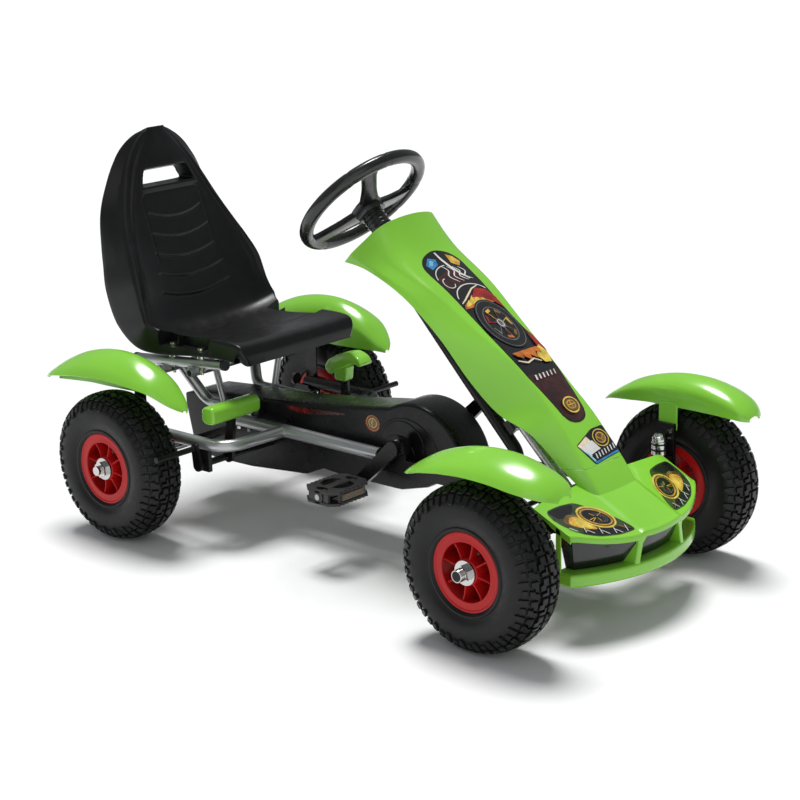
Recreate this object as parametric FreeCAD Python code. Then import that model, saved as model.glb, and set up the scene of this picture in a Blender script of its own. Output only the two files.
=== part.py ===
"""Pedal go kart: one STEP file for each sub-part.

Millimetres, +Z up. The kart's front faces -Y and the driver's right is -X. While modelling, y = 0 is
midway between the two axles; save() moves every piece so that the origin ends up on the floor in the
middle of the kart's bounding box. Pieces on the right are modelled, and the left ones are mirrored.
"""
import FreeCAD, Part
import math
import os

V = FreeCAD.Vector

# ---------------------------------------------------------------- driving dimensions
WHEEL_RADIUS = 130.0
TYRE_WIDTH = 84.0
AXLE_Y = 403.0            # front axle at -AXLE_Y, rear axle at +AXLE_Y
FRONT_HALF_TRACK = 265.5
REAR_HALF_TRACK = 268.0
AXLE_TIP_X = 320.0
AXLE_RADIUS = 8.0
RIM_RADIUS = 61.6
RIM_FACE = 34.6           # outer face of a rim, from the wheel's middle plane
BOX_CENTRE_Y = 18.0       # middle of the kart's bounding box, from the middle of the wheelbase

RAIL_X = 62.0             # main tubes, beside the chain case
RAIL_Z = 177.0
RAIL_RADIUS = 11.0
RAIL_FRONT_Y = -20.0
RAIL_REAR_Y = 330.0
TUBE_WALL = 2.0
BAR_TOP = 178.0           # flat side bars, ahead of the main tubes
BAR_BOTTOM = 152.0
BAR_HALF = 3.0
BEAM_HALF = 15.0          # square front axle beam
BEAM_Z = 155.0

CRANK_Y = -66.5
CRANK_Z = 199.5
CRANK_LENGTH = 105.0
CRANK_DROP = 43.0         # degrees below level that the right arm points, rearwards
ARM_X = 80.0              # middle plane of a crank arm
PEDAL_LENGTH = 94.0
PEDAL_WIDTH = 74.0
PEDAL_THICKNESS = 24.0
SPINDLE_RADIUS = 5.0
CRANK_BEARING_OUTER = 13.0
CRANK_EYE_RADIUS = 17.0

CHAIN_PITCH = 12.7
CHAINRING_TEETH = 26
SPROCKET_TEETH = 18
CASE_HALF = 38.0
CASE_WALL = 2.5

KINGPIN_X = 190.0
KINGPIN_RADIUS = 8.0
KINGPIN_NUT = 19.0        # across flats
STEER_ARM = 80.0
PITMAN_ARM = 46.0
TIE_PIN_X = KINGPIN_X
TIE_PIN_Y = -AXLE_Y + STEER_ARM
STEERING_WHEEL_Y = 60.0
STEERING_WHEEL_Z = 585.0
STEERING_WHEEL_RADIUS = 121.0
STEERING_RIM_TUBE = 11.5
COLUMN_FOOT_Y = -399.0    # where the column's line meets z = COLUMN_FOOT_Z
COLUMN_FOOT_Z = 135.0
SHAFT_RADIUS = 9.0
SHAFT_TOP = 612.0         # along the column from its foot
BUSH_STARTS = (176.0, 444.0)
BUSH_LENGTH = 26.0
BUSH_OUTER = 12.0
HOUSING_OUTER = 15.0
STUB_Z = 129.6            # underside of a knuckle's lower cheek and steering arm
CHEEK_TOP_Z = 176.4       # underside of its upper cheek
CHEEK_THICKNESS = 6.0
RUNNING_GAP = 0.05

OUTRIGGER_X = 197.0
OUTRIGGER_Z = 176.0
OUTRIGGER_Y = 212.0
OUTRIGGER_RADIUS = 10.5
OUTRIGGER_BEND = 45.0
BRAKE_Y = 262.0           # brake cross shaft
BRAKE_Z = 140.0
BRAKE_SHAFT_RADIUS = 6.0
BRAKE_LEVER_X = (-144.0, -138.0)
BRAKE_LEVER_TOP = (250.0, 216.0)
BRAKE_GRIP_X = (-197.0, -85.0)
BRAKE_GRIP_Z = 225.0
BRAKE_GRIP_RADIUS = 15.0
BRAKE_BAR = (268.0, 170.0)        # y and z of the bars that reach in front of the rear tyres
BRAKE_BAR_X = (209.0, 215.0, 300.0)
SHIFT_X = 140.0
SHIFT_Y = 248.0
SHIFT_Z = 160.0
SHIFT_TOP_Z = 222.0
SHIFT_PIN_RADIUS = 5.0

SEAT_RAIL_X = 130.0
SEAT_RAIL_RADIUS = 9.0
SEAT_RAIL_FRONT = (276.0, 297.0)
SEAT_RAIL_REAR = (498.0, 276.0)
SEAT_BOLT_YS = (331.0, 403.0)
SEAT_LEDGE_Z = 314.0      # top of the seat's side ledges, where its bolts sit
BOLT_BORE = 3.0
SHELL = 2.6               # wall of the plastic covers


# ---------------------------------------------------------------- helpers
def save(name, *solids):
    """Write one node, shifted so that the origin is under the middle of the kart."""
    shape = solids[0] if len(solids) == 1 else Part.makeCompound(list(solids))
    moved = shape.copy()
    moved.translate(V(0, -BOX_CENTRE_Y, 0))
    moved.exportStep("parts/" + name + ".step")


def mirrored(shape):
    return shape.mirror(V(0, 0, 0), V(1, 0, 0))


def save_pair(name, right):
    save(name + "_right", right)
    save(name + "_left", mirrored(right))


def box(x0, x1, y0, y1, z0, z1):
    return Part.makeBox(x1 - x0, y1 - y0, z1 - z0, V(x0, y0, z0))


def rod(start, end, radius):
    axis = end - start
    return Part.makeCylinder(radius, axis.Length, start, axis)


def ring(start, end, outer, inner):
    return rod(start, end, outer).cut(rod(start, end, inner))


def x_rod(x0, x1, y, z, radius):
    return rod(V(x0, y, z), V(x1, y, z), radius)


def x_ring(x0, x1, y, z, outer, inner):
    return ring(V(x0, y, z), V(x1, y, z), outer, inner)


def z_rod(x, y, z0, z1, radius):
    return rod(V(x, y, z0), V(x, y, z1), radius)


def hexagon(start, end, across_flats):
    """Hexagonal prism between two points."""
    axis = end - start
    corner = across_flats / math.sqrt(3)
    side = V(1, 0, 0) if abs(axis.x) < 0.5 * axis.Length else V(0, 0, 1)
    side = (side - axis * (side.dot(axis) / axis.dot(axis))).normalize()
    other = axis.cross(side).normalize()
    corners = []
    for i in range(6):
        angle = math.radians(60 * i)
        corners.append(start + side * (corner * math.cos(angle)) + other * (corner * math.sin(angle)))
    return Part.Face(Part.makePolygon(corners + corners[:1])).extrude(axis)


def plate_yz(points, x0, x1):
    """Flat plate: an outline of (y, z) points, from x0 to x1."""
    corners = [V(x0, y, z) for y, z in points]
    return Part.Face(Part.makePolygon(corners + corners[:1])).extrude(V(x1 - x0, 0, 0))


def link_yz(a, b, radius_a, radius_b, x0, x1):
    """Flat link between two round ends at (y, z) points a and b."""
    ay, az = a
    by, bz = b
    length = math.hypot(by - ay, bz - az)
    side_y, side_z = -(bz - az) / length, (by - ay) / length
    waist = [(ay + side_y * radius_a, az + side_z * radius_a), (by + side_y * radius_b, bz + side_z * radius_b),
             (by - side_y * radius_b, bz - side_z * radius_b), (ay - side_y * radius_a, az - side_z * radius_a)]
    ends = [x_rod(x0, x1, ay, az, radius_a), x_rod(x0, x1, by, bz, radius_b)]
    return plate_yz(waist, x0, x1).multiFuse(ends).removeSplitter()


def rounded_path(points, bend):
    """Wire of straight runs through the points, joined by arcs of radius bend."""
    edges = []
    start = points[0]
    for before, corner, after in zip(points, points[1:], points[2:]):
        back = (before - corner).normalize()
        ahead = (after - corner).normalize()
        half = 0.5 * back.getAngle(ahead)
        reach = bend / math.tan(half)
        first = corner + back * reach
        last = corner + ahead * reach
        middle = corner + (back + ahead).normalize() * (bend / math.sin(half) - bend)
        edges.append(Part.LineSegment(start, first).toShape())
        edges.append(Part.Arc(first, middle, last).toShape())
        start = last
    edges.append(Part.LineSegment(start, points[-1]).toShape())
    return Part.Wire(edges)


def bent_rod(points, radius, bend):
    path = rounded_path(points, bend)
    profile = Part.Wire(Part.makeCircle(radius, points[0], points[1] - points[0]))
    return path.makePipeShell([profile], True, False)


def bent_tube(points, radius, bend):
    return bent_rod(points, radius, bend).cut(bent_rod(points, radius - TUBE_WALL, bend))


def revolve_x(points_and_arcs, x, y, z):
    """Turn a closed (x, r) outline about the X axis line through (y, z).

    Each entry is (x, r) for a straight run, or (via, to) pairs for an arc."""
    edges = []
    first = last = V(points_and_arcs[0][0], 0, points_and_arcs[0][1])
    for entry in points_and_arcs[1:]:
        if isinstance(entry[0], tuple):
            via, to = V(entry[0][0], 0, entry[0][1]), V(entry[1][0], 0, entry[1][1])
            edges.append(Part.Arc(last, via, to).toShape())
        else:
            to = V(entry[0], 0, entry[1])
            edges.append(Part.LineSegment(last, to).toShape())
        last = to
    if last.distanceToPoint(first) > 1e-6:
        edges.append(Part.LineSegment(last, first).toShape())
    solid = Part.Face(Part.Wire(edges)).revolve(V(0, 0, 0), V(1, 0, 0), 360)
    solid.translate(V(x, y, z))
    return solid


def smooth(points, count):
    """Evenly spaced points on a smooth curve through a list of number tuples."""
    reach = [0.0]
    for a, b in zip(points, points[1:]):
        reach.append(reach[-1] + math.dist(a, b))
    result = []
    for i in range(count):
        s = reach[-1] * i / (count - 1)
        k = min(max(j for j in range(len(reach)) if reach[j] <= s + 1e-9), len(points) - 2)
        t = (s - reach[k]) / (reach[k + 1] - reach[k])
        p0 = points[max(k - 1, 0)]
        p1, p2 = points[k], points[k + 1]
        p3 = points[min(k + 2, len(points) - 1)]
        result.append(tuple(
            0.5 * (2 * b + (c - a) * t + (2 * a - 5 * b + 4 * c - d) * t * t + (3 * b - a - 3 * c + d) * t ** 3)
            for a, b, c, d in zip(p0, p1, p2, p3)))
    return result


def loft(sections):
    """Solid through closed sections that all have the same number of corners."""
    return Part.makeLoft([Part.makePolygon(s + s[:1]) for s in sections], True, True)


def column(along, below=0.0, x=0.0):
    """Point by the steering column: along from its foot, and below its axis line."""
    rise = V(0, STEERING_WHEEL_Y - COLUMN_FOOT_Y, STEERING_WHEEL_Z - COLUMN_FOOT_Z).normalize()
    down = V(0, rise.z, -rise.y)
    return V(x, COLUMN_FOOT_Y, COLUMN_FOOT_Z) + rise * along + down * below


# ---------------------------------------------------------------- frame
def rail_solid(radius):
    return rod(V(-RAIL_X, RAIL_REAR_Y, RAIL_Z), V(-RAIL_X, RAIL_FRONT_Y, RAIL_Z), radius)


# Front end of each seat support, and its two bolts: the right one sits further back, behind the brake.
SUPPORT_FRONT_Y = {-1: 276.0, 1: 180.0}
FRAME_BOLT_YS = {-1: (290.0, 316.0), 1: (220.0, 248.0)}
SUPPORT_RADIUS = 10.0
SUPPORT_Z = RAIL_Z + RAIL_RADIUS + SUPPORT_RADIUS


def frame_bolt_holes(side):
    """Bolt bores of one side, drawn on the right."""
    ys = FRAME_BOLT_YS[side]
    return Part.makeCompound([z_rod(-RAIL_X, y, RAIL_Z - 20, SUPPORT_Z + 20, BOLT_BORE) for y in ys])


def on_side(side, shape):
    """A shape drawn on the right, moved to its own side."""
    return mirrored(shape) if side > 0 else shape


def main_tube(side):
    tube = rail_solid(RAIL_RADIUS).cut(rail_solid(RAIL_RADIUS - TUBE_WALL))
    return on_side(side, tube.cut(frame_bolt_holes(side)))


def side_bar():
    """Flat bar from the main tube to the front beam, with an eye for the crank bearing.

    It is notched over the tie rods."""
    x0, x1 = -RAIL_X - BAR_HALF, -RAIL_X + BAR_HALF
    bar = box(x0, x1, -AXLE_Y + BEAM_HALF, RAIL_FRONT_Y, BAR_BOTTOM, BAR_TOP)
    notch = box(x0, x1, TIE_PIN_Y - 32, TIE_PIN_Y + 24, BAR_BOTTOM, BAR_BOTTOM + 14)
    bar = bar.cut(notch)
    neck = box(x0, x1, CRANK_Y - 14, CRANK_Y + 14, BAR_TOP - 5, CRANK_Z)
    eye = x_rod(-RAIL_X - 6, -RAIL_X + 6, CRANK_Y, CRANK_Z, CRANK_EYE_RADIUS)
    hole = x_rod(-RAIL_X - 7, -RAIL_X + 7, CRANK_Y, CRANK_Z, CRANK_BEARING_OUTER)
    return bar.multiFuse([neck, eye]).cut(hole).removeSplitter()


def beam_block(reach, half):
    return box(-reach, reach, -AXLE_Y - half, -AXLE_Y + half, BEAM_Z - half, BEAM_Z + half)


def front_axle_beam():
    """Square tube with a round housing for the kingpin at each end."""
    reach = KINGPIN_X - 12
    housing_bottom = STUB_Z + CHEEK_THICKNESS + 0.4
    housing_top = CHEEK_TOP_Z - 0.4
    beam = beam_block(reach, BEAM_HALF).cut(beam_block(reach - 6, BEAM_HALF - TUBE_WALL))
    for side in (-1, 1):
        beam = beam.fuse(z_rod(side * KINGPIN_X, -AXLE_Y, housing_bottom, housing_top, BEAM_HALF + 1))
    for side in (-1, 1):
        bore = z_rod(side * KINGPIN_X, -AXLE_Y, housing_bottom - 1, housing_top + 1, KINGPIN_RADIUS + RUNNING_GAP)
        beam = beam.cut(bore)
    return beam.removeSplitter()


COLUMN_SUPPORT_Y = -262.0
COLUMN_SUPPORT_RADIUS = 11.0
COLUMN_SUPPORT_BEND = 30.0
CROSS_BAR_TOP = BAR_TOP - 4


def column_support():
    """Bent tube behind the steering shaft, its cross bar, and the two bush housings."""
    foot = V(0, COLUMN_SUPPORT_Y, CROSS_BAR_TOP)
    points = [foot, V(0, COLUMN_SUPPORT_Y, 212), column(303, 36), column(470, 29)]
    cross = box(-RAIL_X + BAR_HALF, RAIL_X - BAR_HALF, COLUMN_SUPPORT_Y - 12, COLUMN_SUPPORT_Y + 12,
                BAR_BOTTOM, CROSS_BAR_TOP)
    tube = bent_rod(points, COLUMN_SUPPORT_RADIUS, COLUMN_SUPPORT_BEND)
    bore = bent_rod(points, COLUMN_SUPPORT_RADIUS - TUBE_WALL, COLUMN_SUPPORT_BEND)
    rise = column(1) - column(0)
    lean = math.degrees(math.atan2(rise.y, rise.z))
    fittings = [cross]
    for start in BUSH_STARTS:
        fittings.append(rod(column(start), column(start + BUSH_LENGTH), HOUSING_OUTER))
        web = Part.makeBox(8, 34, 22, V(-4, 0, 0))
        web.rotate(V(0, 0, 0), V(1, 0, 0), -lean)
        web.translate(column(start + 2))
        fittings.append(web)
    way_through = rod(column(BUSH_STARTS[0] - BUSH_LENGTH), column(BUSH_STARTS[1] + 3 * BUSH_LENGTH), BUSH_OUTER)
    return tube.multiFuse(fittings).cut(bore).cut(way_through).removeSplitter()


def steering_bushes():
    return [ring(column(start), column(start + BUSH_LENGTH), BUSH_OUTER, SHAFT_RADIUS + RUNNING_GAP)
            for start in BUSH_STARTS]


OUTRIGGER_END_Y = AXLE_Y + 26


def outrigger_path():
    return [V(-RAIL_X, OUTRIGGER_Y - 8, OUTRIGGER_Z), V(-OUTRIGGER_X, OUTRIGGER_Y, OUTRIGGER_Z),
            V(-OUTRIGGER_X, OUTRIGGER_END_Y, OUTRIGGER_Z)]


def outrigger():
    """Bent tube from the main tube out to the rear axle's bearing block."""
    tube = bent_tube(outrigger_path(), OUTRIGGER_RADIUS, OUTRIGGER_BEND)
    return tube.cut(rail_solid(RAIL_RADIUS))


def outrigger_cap():
    end = V(-OUTRIGGER_X, OUTRIGGER_END_Y, OUTRIGGER_Z)
    return rod(end, end + V(0, 6, 0), OUTRIGGER_RADIUS + 0.5)


BEARING_OUTER = 16.0


def axle_block():
    top = OUTRIGGER_Z - OUTRIGGER_RADIUS
    block = box(-OUTRIGGER_X - 13, -OUTRIGGER_X + 13, AXLE_Y - 22, AXLE_Y + 22, WHEEL_RADIUS - 22, top)
    block = block.fuse(box(-OUTRIGGER_X - 13, -OUTRIGGER_X + 13, AXLE_Y - 16, AXLE_Y + 16, top - 1, top + 6))
    tube = rod(V(-OUTRIGGER_X, AXLE_Y - 40, OUTRIGGER_Z), V(-OUTRIGGER_X, AXLE_Y + 40, OUTRIGGER_Z),
               OUTRIGGER_RADIUS)
    bore = x_rod(-OUTRIGGER_X - 14, -OUTRIGGER_X + 14, AXLE_Y, WHEEL_RADIUS, BEARING_OUTER)
    return block.cut(tube).cut(bore).removeSplitter()


def ball_bearings():
    """Two for the rear axle and two for the crank axle."""
    rear = x_ring(-OUTRIGGER_X - 8, -OUTRIGGER_X + 8, AXLE_Y, WHEEL_RADIUS, BEARING_OUTER,
                  AXLE_RADIUS + RUNNING_GAP)
    crank = x_ring(-RAIL_X - 6, -RAIL_X + 6, CRANK_Y, CRANK_Z, CRANK_BEARING_OUTER, AXLE_RADIUS + RUNNING_GAP)
    return [rear, mirrored(rear), crank, mirrored(crank)]


def frame_bolts():
    """Bolts that clamp the seat supports onto the main tubes."""
    solids = []
    top, bottom = SUPPORT_Z + SUPPORT_RADIUS, RAIL_Z - RAIL_RADIUS
    for side in (-1, 1):
        for y in FRAME_BOLT_YS[side]:
            shank = z_rod(-RAIL_X, y, bottom - 5, top + 1, BOLT_BORE - 0.2)
            head = z_rod(-RAIL_X, y, top + 0.1, top + 4, 6)
            nut = hexagon(V(-RAIL_X, y, bottom - 5), V(-RAIL_X, y, bottom - 0.1), 10)
            solids.append(on_side(side, shank.multiFuse([head, nut]).removeSplitter()))
    return solids


# ---------------------------------------------------------------- seat and its carrier
def seat_rail_z(y):
    (y0, z0), (y1, z1) = SEAT_RAIL_FRONT, SEAT_RAIL_REAR
    return z0 + (z1 - z0) * (y - y0) / (y1 - y0)


def seat_rail_ends():
    return V(-SEAT_RAIL_X, *SEAT_RAIL_FRONT), V(-SEAT_RAIL_X, *SEAT_RAIL_REAR)


def seat_bolt_holes(radius):
    return [z_rod(-SEAT_RAIL_X, y, 250, 350, radius) for y in SEAT_BOLT_YS]


def seat_rail():
    front, rear = seat_rail_ends()
    tube = ring(front, rear, SEAT_RAIL_RADIUS, SEAT_RAIL_RADIUS - TUBE_WALL)
    return tube.cut(Part.makeCompound(seat_bolt_holes(BOLT_BORE)))


def rail_end_caps():
    front, rear = seat_rail_ends()
    along = (rear - front).normalize()
    solids = [outrigger_cap()]
    for end, way in ((front, -1), (rear, 1)):
        solids.append(rod(end, end + along * (way * 6), SEAT_RAIL_RADIUS + 0.6))
    return solids + [mirrored(s) for s in solids]


CROSS_TUBE_RADIUS = 8.0
CROSS_TUBE_YS = (352.0, 432.0)


def cross_tube_z(y):
    return seat_rail_z(y) - SEAT_RAIL_RADIUS - CROSS_TUBE_RADIUS


def seat_cross_tubes():
    """Two tubes under the seat rails, saddled onto them."""
    solids = []
    front, rear = seat_rail_ends()
    rails = rod(front, rear, SEAT_RAIL_RADIUS)
    for y in CROSS_TUBE_YS:
        z = cross_tube_z(y)
        tube = x_rod(-SEAT_RAIL_X - 12, SEAT_RAIL_X + 12, y, z, CROSS_TUBE_RADIUS)
        for side in (-1, 1):
            saddle = box(side * SEAT_RAIL_X - 8, side * SEAT_RAIL_X + 8, y - 8, y + 8, z, z + CROSS_TUBE_RADIUS + 4)
            tube = tube.fuse(saddle)
        tube = tube.cut(rails).cut(mirrored(rails))
        bore = x_rod(-SEAT_RAIL_X - 12, SEAT_RAIL_X + 12, y, z, CROSS_TUBE_RADIUS - TUBE_WALL)
        solids.append(tube.cut(bore).removeSplitter())
    return solids


def seat_support(side):
    """Tube clamped on the main tube, rising to the rear cross tube, with a prop to the front one."""
    y_rear = CROSS_TUBE_YS[1]
    top = V(-88, y_rear, cross_tube_z(y_rear))
    points = [V(-RAIL_X, SUPPORT_FRONT_Y[side], SUPPORT_Z), V(-RAIL_X, 396, SUPPORT_Z), top]
    tube = bent_rod(points, SUPPORT_RADIUS, 28)
    bore = bent_rod(points, SUPPORT_RADIUS - TUBE_WALL, 28)
    y_front = CROSS_TUBE_YS[0]
    prop_foot = V(-RAIL_X, y_front, SUPPORT_Z + 4)
    prop = rod(prop_foot, V(-80, y_front, cross_tube_z(y_front)), 6)
    whole = tube.fuse(prop).cut(bore)
    for y in CROSS_TUBE_YS:
        whole = whole.cut(x_rod(-150, 0, y, cross_tube_z(y), CROSS_TUBE_RADIUS))
        whole = whole.cut(box(-150, 0, y - 12, y + 12, cross_tube_z(y), cross_tube_z(y) + 20))
    whole = whole.cut(frame_bolt_holes(side)).removeSplitter()
    return on_side(side, max(whole.Solids, key=lambda s: s.Volume))


# Seat stations, front lip to top: y and z on the middle of the sitting face, half width, and how far
# the edges stand proud of the middle.
SEAT_STATIONS = [
    (217, 303, 128, 0), (218, 324, 138, 0), (234, 338, 141, 2), (290, 331, 141, 11), (350, 322, 141, 15),
    (410, 318, 146, 20), (452, 329, 168, 26), (476, 362, 187, 28), (492, 412, 184, 26), (512, 474, 162, 24),
    (530, 534, 137, 22), (549, 595, 106, 18), (564, 643, 71, 12), (571, 666, 36, 5)]
SEAT_THICKNESS = 13.0
SEAT_ACROSS = 8           # strips across half the seat


def seat_section(before, here, after):
    y, z, half, proud = here
    ahead = V(0, after[0] - before[0], after[1] - before[1]).normalize()
    up = V(0, -ahead.z, ahead.y)
    middle = V(0, y, z)
    face, back = [], []
    for i in range(-SEAT_ACROSS, SEAT_ACROSS + 1):
        t = i / SEAT_ACROSS
        across = V(half * math.sin(0.5 * math.pi * t), 0, 0)
        spread = abs(math.sin(0.5 * math.pi * t))
        face.append(middle + across + up * (proud * spread ** 3))
        back.append(middle + across * 0.985 + up * (-SEAT_THICKNESS + 8 * spread ** 6))
    return face + back[::-1]


def seat_shell():
    stations = smooth(SEAT_STATIONS, 26)
    padded = [stations[0]] + stations + [stations[-1]]
    shell = loft([seat_section(a, b, c) for a, b, c in zip(padded, padded[1:], padded[2:])])
    slot = [(-60, 567), (60, 567), (46, 602), (-46, 602)]
    corners = [V(x, 480, z) for x, z in slot]
    shell = shell.cut(Part.Face(Part.makePolygon(corners + corners[:1])).extrude(V(0, 140, 0)))
    for side in (-1, 1):
        low, high = sorted((side * 116, side * 200))
        shell = shell.cut(box(low, high, 300, 420, SEAT_LEDGE_Z, 400))
    holes = seat_bolt_holes(BOLT_BORE)
    shell = shell.cut(Part.makeCompound(holes + [mirrored(h) for h in holes]))
    return max(shell.Solids, key=lambda s: s.Volume)


def seat_bolts(seat):
    """Bolts through the seat's ledges and the seat rails, with a spacer under the ledge."""
    solids = []
    for y in SEAT_BOLT_YS:
        rail_top = seat_rail_z(y) + SEAT_RAIL_RADIUS
        rail_bottom = seat_rail_z(y) - SEAT_RAIL_RADIUS
        head = z_rod(-SEAT_RAIL_X, y, SEAT_LEDGE_Z + 0.3, SEAT_LEDGE_Z + 5, 6.5)
        shank = z_rod(-SEAT_RAIL_X, y, rail_bottom - 12, SEAT_LEDGE_Z + 1, BOLT_BORE - 0.2)
        nut = hexagon(V(-SEAT_RAIL_X, y, rail_bottom - 7), V(-SEAT_RAIL_X, y, rail_bottom - 1), 10)
        spacer = ring(V(-SEAT_RAIL_X, y, rail_top), V(-SEAT_RAIL_X, y, SEAT_LEDGE_Z - 1), 8, BOLT_BORE - 0.1)
        spacer = spacer.cut(seat).cut(rod(*seat_rail_ends(), SEAT_RAIL_RADIUS))
        bolt = shank.multiFuse([head, nut]).removeSplitter()
        spacer = max(spacer.Solids, key=lambda s: s.Volume)
        solids += [bolt, mirrored(bolt), spacer, mirrored(spacer)]
    return solids


# ---------------------------------------------------------------- drive
CASE_OUTLINE_REAR = [(484, 172), (470, 112), (446, 84), (410, 80), (318, 82), (180, 95), (138, 113),
                     (95, 110), (-43, 112), (-99, 127), (-143, 150), (-181, 156)]
CASE_NOSE = [(-142, 243), (-20, 252)]       # middle and end of its round front
CASE_TOP = [(92, 236), (225, 220), (363, 212), (440, 206), (484, 192)]


def chain_case_outline(inset):
    """Closed (y, z) outline of the case: straight skirt and a round nose over the chainring."""
    edges = []
    points = [V(0, y, z) for y, z in CASE_OUTLINE_REAR]
    for a, b in zip(points, points[1:]):
        edges.append(Part.LineSegment(a, b).toShape())
    nose_middle, nose_end = (V(0, y, z) for y, z in CASE_NOSE)
    edges.append(Part.Arc(points[-1], nose_middle, nose_end).toShape())
    top = [nose_end] + [V(0, y, z) for y, z in CASE_TOP] + [points[0]]
    for a, b in zip(top, top[1:]):
        edges.append(Part.LineSegment(a, b).toShape())
    wire = Part.Wire(edges)
    return wire.makeOffset2D(-inset, 2) if inset else wire


def chain_case_half():
    """Right half, open towards the middle, with a flange lug reaching the main tube."""
    outer = Part.Face(chain_case_outline(0)).extrude(V(CASE_HALF - 0.2, 0, 0))
    outer.translate(V(-CASE_HALF, 0, 0))
    inner = Part.Face(chain_case_outline(CASE_WALL)).extrude(V(CASE_HALF, 0, 0))
    inner.translate(V(-CASE_HALF + CASE_WALL, 0, 0))
    half = outer.cut(inner)
    for y in (40, 160):
        lug = box(-RAIL_X, -CASE_HALF + 1, y - 10, y + 10, RAIL_Z - 7, RAIL_Z + 7)
        half = half.fuse(lug)
    half = half.cut(rail_solid(RAIL_RADIUS))
    half = half.cut(x_rod(-70, 0, CRANK_Y, CRANK_Z, AXLE_RADIUS + 1.5))
    half = half.cut(x_rod(-70, 0, AXLE_Y, WHEEL_RADIUS, AXLE_RADIUS + 1.5))
    half = half.cut(x_rod(-70, 0, BRAKE_Y, BRAKE_Z, BRAKE_SHAFT_RADIUS + 1.0))
    return max(half.Solids, key=lambda s: s.Volume)


def pitch_radius(teeth):
    return CHAIN_PITCH / (2 * math.sin(math.pi / teeth))


def toothed_wheel(teeth, y, z, half, bore):
    """Sprocket: a flat disc with pointed teeth."""
    middle = pitch_radius(teeth)
    corners = []
    for i in range(teeth):
        for step, radius in ((0.0, middle + 3.2), (0.16, middle + 2.2), (0.34, middle - 3.8),
                             (0.66, middle - 3.8), (0.84, middle + 2.2)):
            angle = 2 * math.pi * (i + step) / teeth
            corners.append(V(-half, y + radius * math.cos(angle), z + radius * math.sin(angle)))
    disc = Part.Face(Part.makePolygon(corners + corners[:1])).extrude(V(2 * half, 0, 0))
    return disc.cut(x_rod(-half - 1, half + 1, y, z, bore))


def chain_band(x0, x1):
    """Side plates of the whole chain, drawn as one band round both sprockets."""
    big, small = pitch_radius(CHAINRING_TEETH), pitch_radius(SPROCKET_TEETH)
    centre = V(0, CRANK_Y, CRANK_Z)
    rear = V(0, AXLE_Y, WHEEL_RADIUS)
    span = rear - centre
    lean = math.atan2(span.z, span.y)
    wrap = math.acos((big - small) / span.Length)

    def loop(grow):
        def at(middle, radius, angle):
            return middle + V(0, math.cos(angle), math.sin(angle)) * (radius + grow)
        top, bottom = lean + wrap, lean - wrap
        edges = [Part.LineSegment(at(rear, small, bottom), at(centre, big, bottom)).toShape(),
                 Part.Arc(at(centre, big, bottom), at(centre, big, lean + math.pi),
                          at(centre, big, top)).toShape(),
                 Part.LineSegment(at(centre, big, top), at(rear, small, top)).toShape(),
                 Part.Arc(at(rear, small, top), at(rear, small, lean), at(rear, small, bottom)).toShape()]
        return Part.Face(Part.Wire(edges))
    band = loop(4.0).cut(loop(-4.0)).extrude(V(x1 - x0, 0, 0))
    band.translate(V(x0, 0, 0))
    return band


def crank_arm_end(side):
    """Middle of a pedal spindle in the crank's plane: side -1 is right and rearwards, 1 is left."""
    angle = math.radians(CRANK_DROP)
    return (CRANK_Y - side * CRANK_LENGTH * math.cos(angle), CRANK_Z + side * CRANK_LENGTH * math.sin(angle))


def crank():
    axle = x_rod(-ARM_X, ARM_X, CRANK_Y, CRANK_Z, AXLE_RADIUS)
    arms = []
    for side in (-1, 1):
        x0, x1 = sorted((side * (ARM_X - 5), side * (ARM_X + 5)))
        arms.append(link_yz((CRANK_Y, CRANK_Z), crank_arm_end(side), 13, 10, x0, x1))
    return axle.multiFuse(arms).removeSplitter()


def pedal_spindles():
    solids = []
    for side in (-1, 1):
        y, z = crank_arm_end(side)
        solids.append(x_rod(side * (ARM_X + 5), side * (ARM_X + 9 + PEDAL_LENGTH), y, z, SPINDLE_RADIUS))
    return solids


def pedal(side):
    """Block pedal: outer frame, spindle barrel, and two treads with gaps between."""
    y, z = crank_arm_end(side)
    x0, x1 = sorted((side * (ARM_X + 8), side * (ARM_X + 8 + PEDAL_LENGTH)))
    wide, thick = 0.5 * PEDAL_WIDTH, 0.5 * PEDAL_THICKNESS
    body = box(x0, x1, y - wide, y + wide, z - thick, z + thick)
    for way in (-1, 1):
        y0, y1 = sorted((y + way * 9, y + way * (wide - 10)))
        body = body.cut(box(x0 + 10, x1 - 10, y0, y1, z - thick - 1, z + thick + 1))
    return body.cut(x_rod(x0 - 1, x1 + 1, y, z, SPINDLE_RADIUS + RUNNING_GAP))


# ---------------------------------------------------------------- wheels
def tyre(x, y):
    half = 0.5 * TYRE_WIDTH
    outline = [(26, 58), (33.3, 58), (33.3, 62.4), ((half, 92), (34, 120)), ((0, WHEEL_RADIUS), (-34, 120)),
               ((-half, 92), (-33.3, 62.4)), (-33.3, 58), (-26, 58), ((-34, 92), (-27, 114)),
               ((0, 120), (27, 114)), ((34, 92), (26, 58))]
    return revolve_x(outline, x, y, WHEEL_RADIUS)


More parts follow.
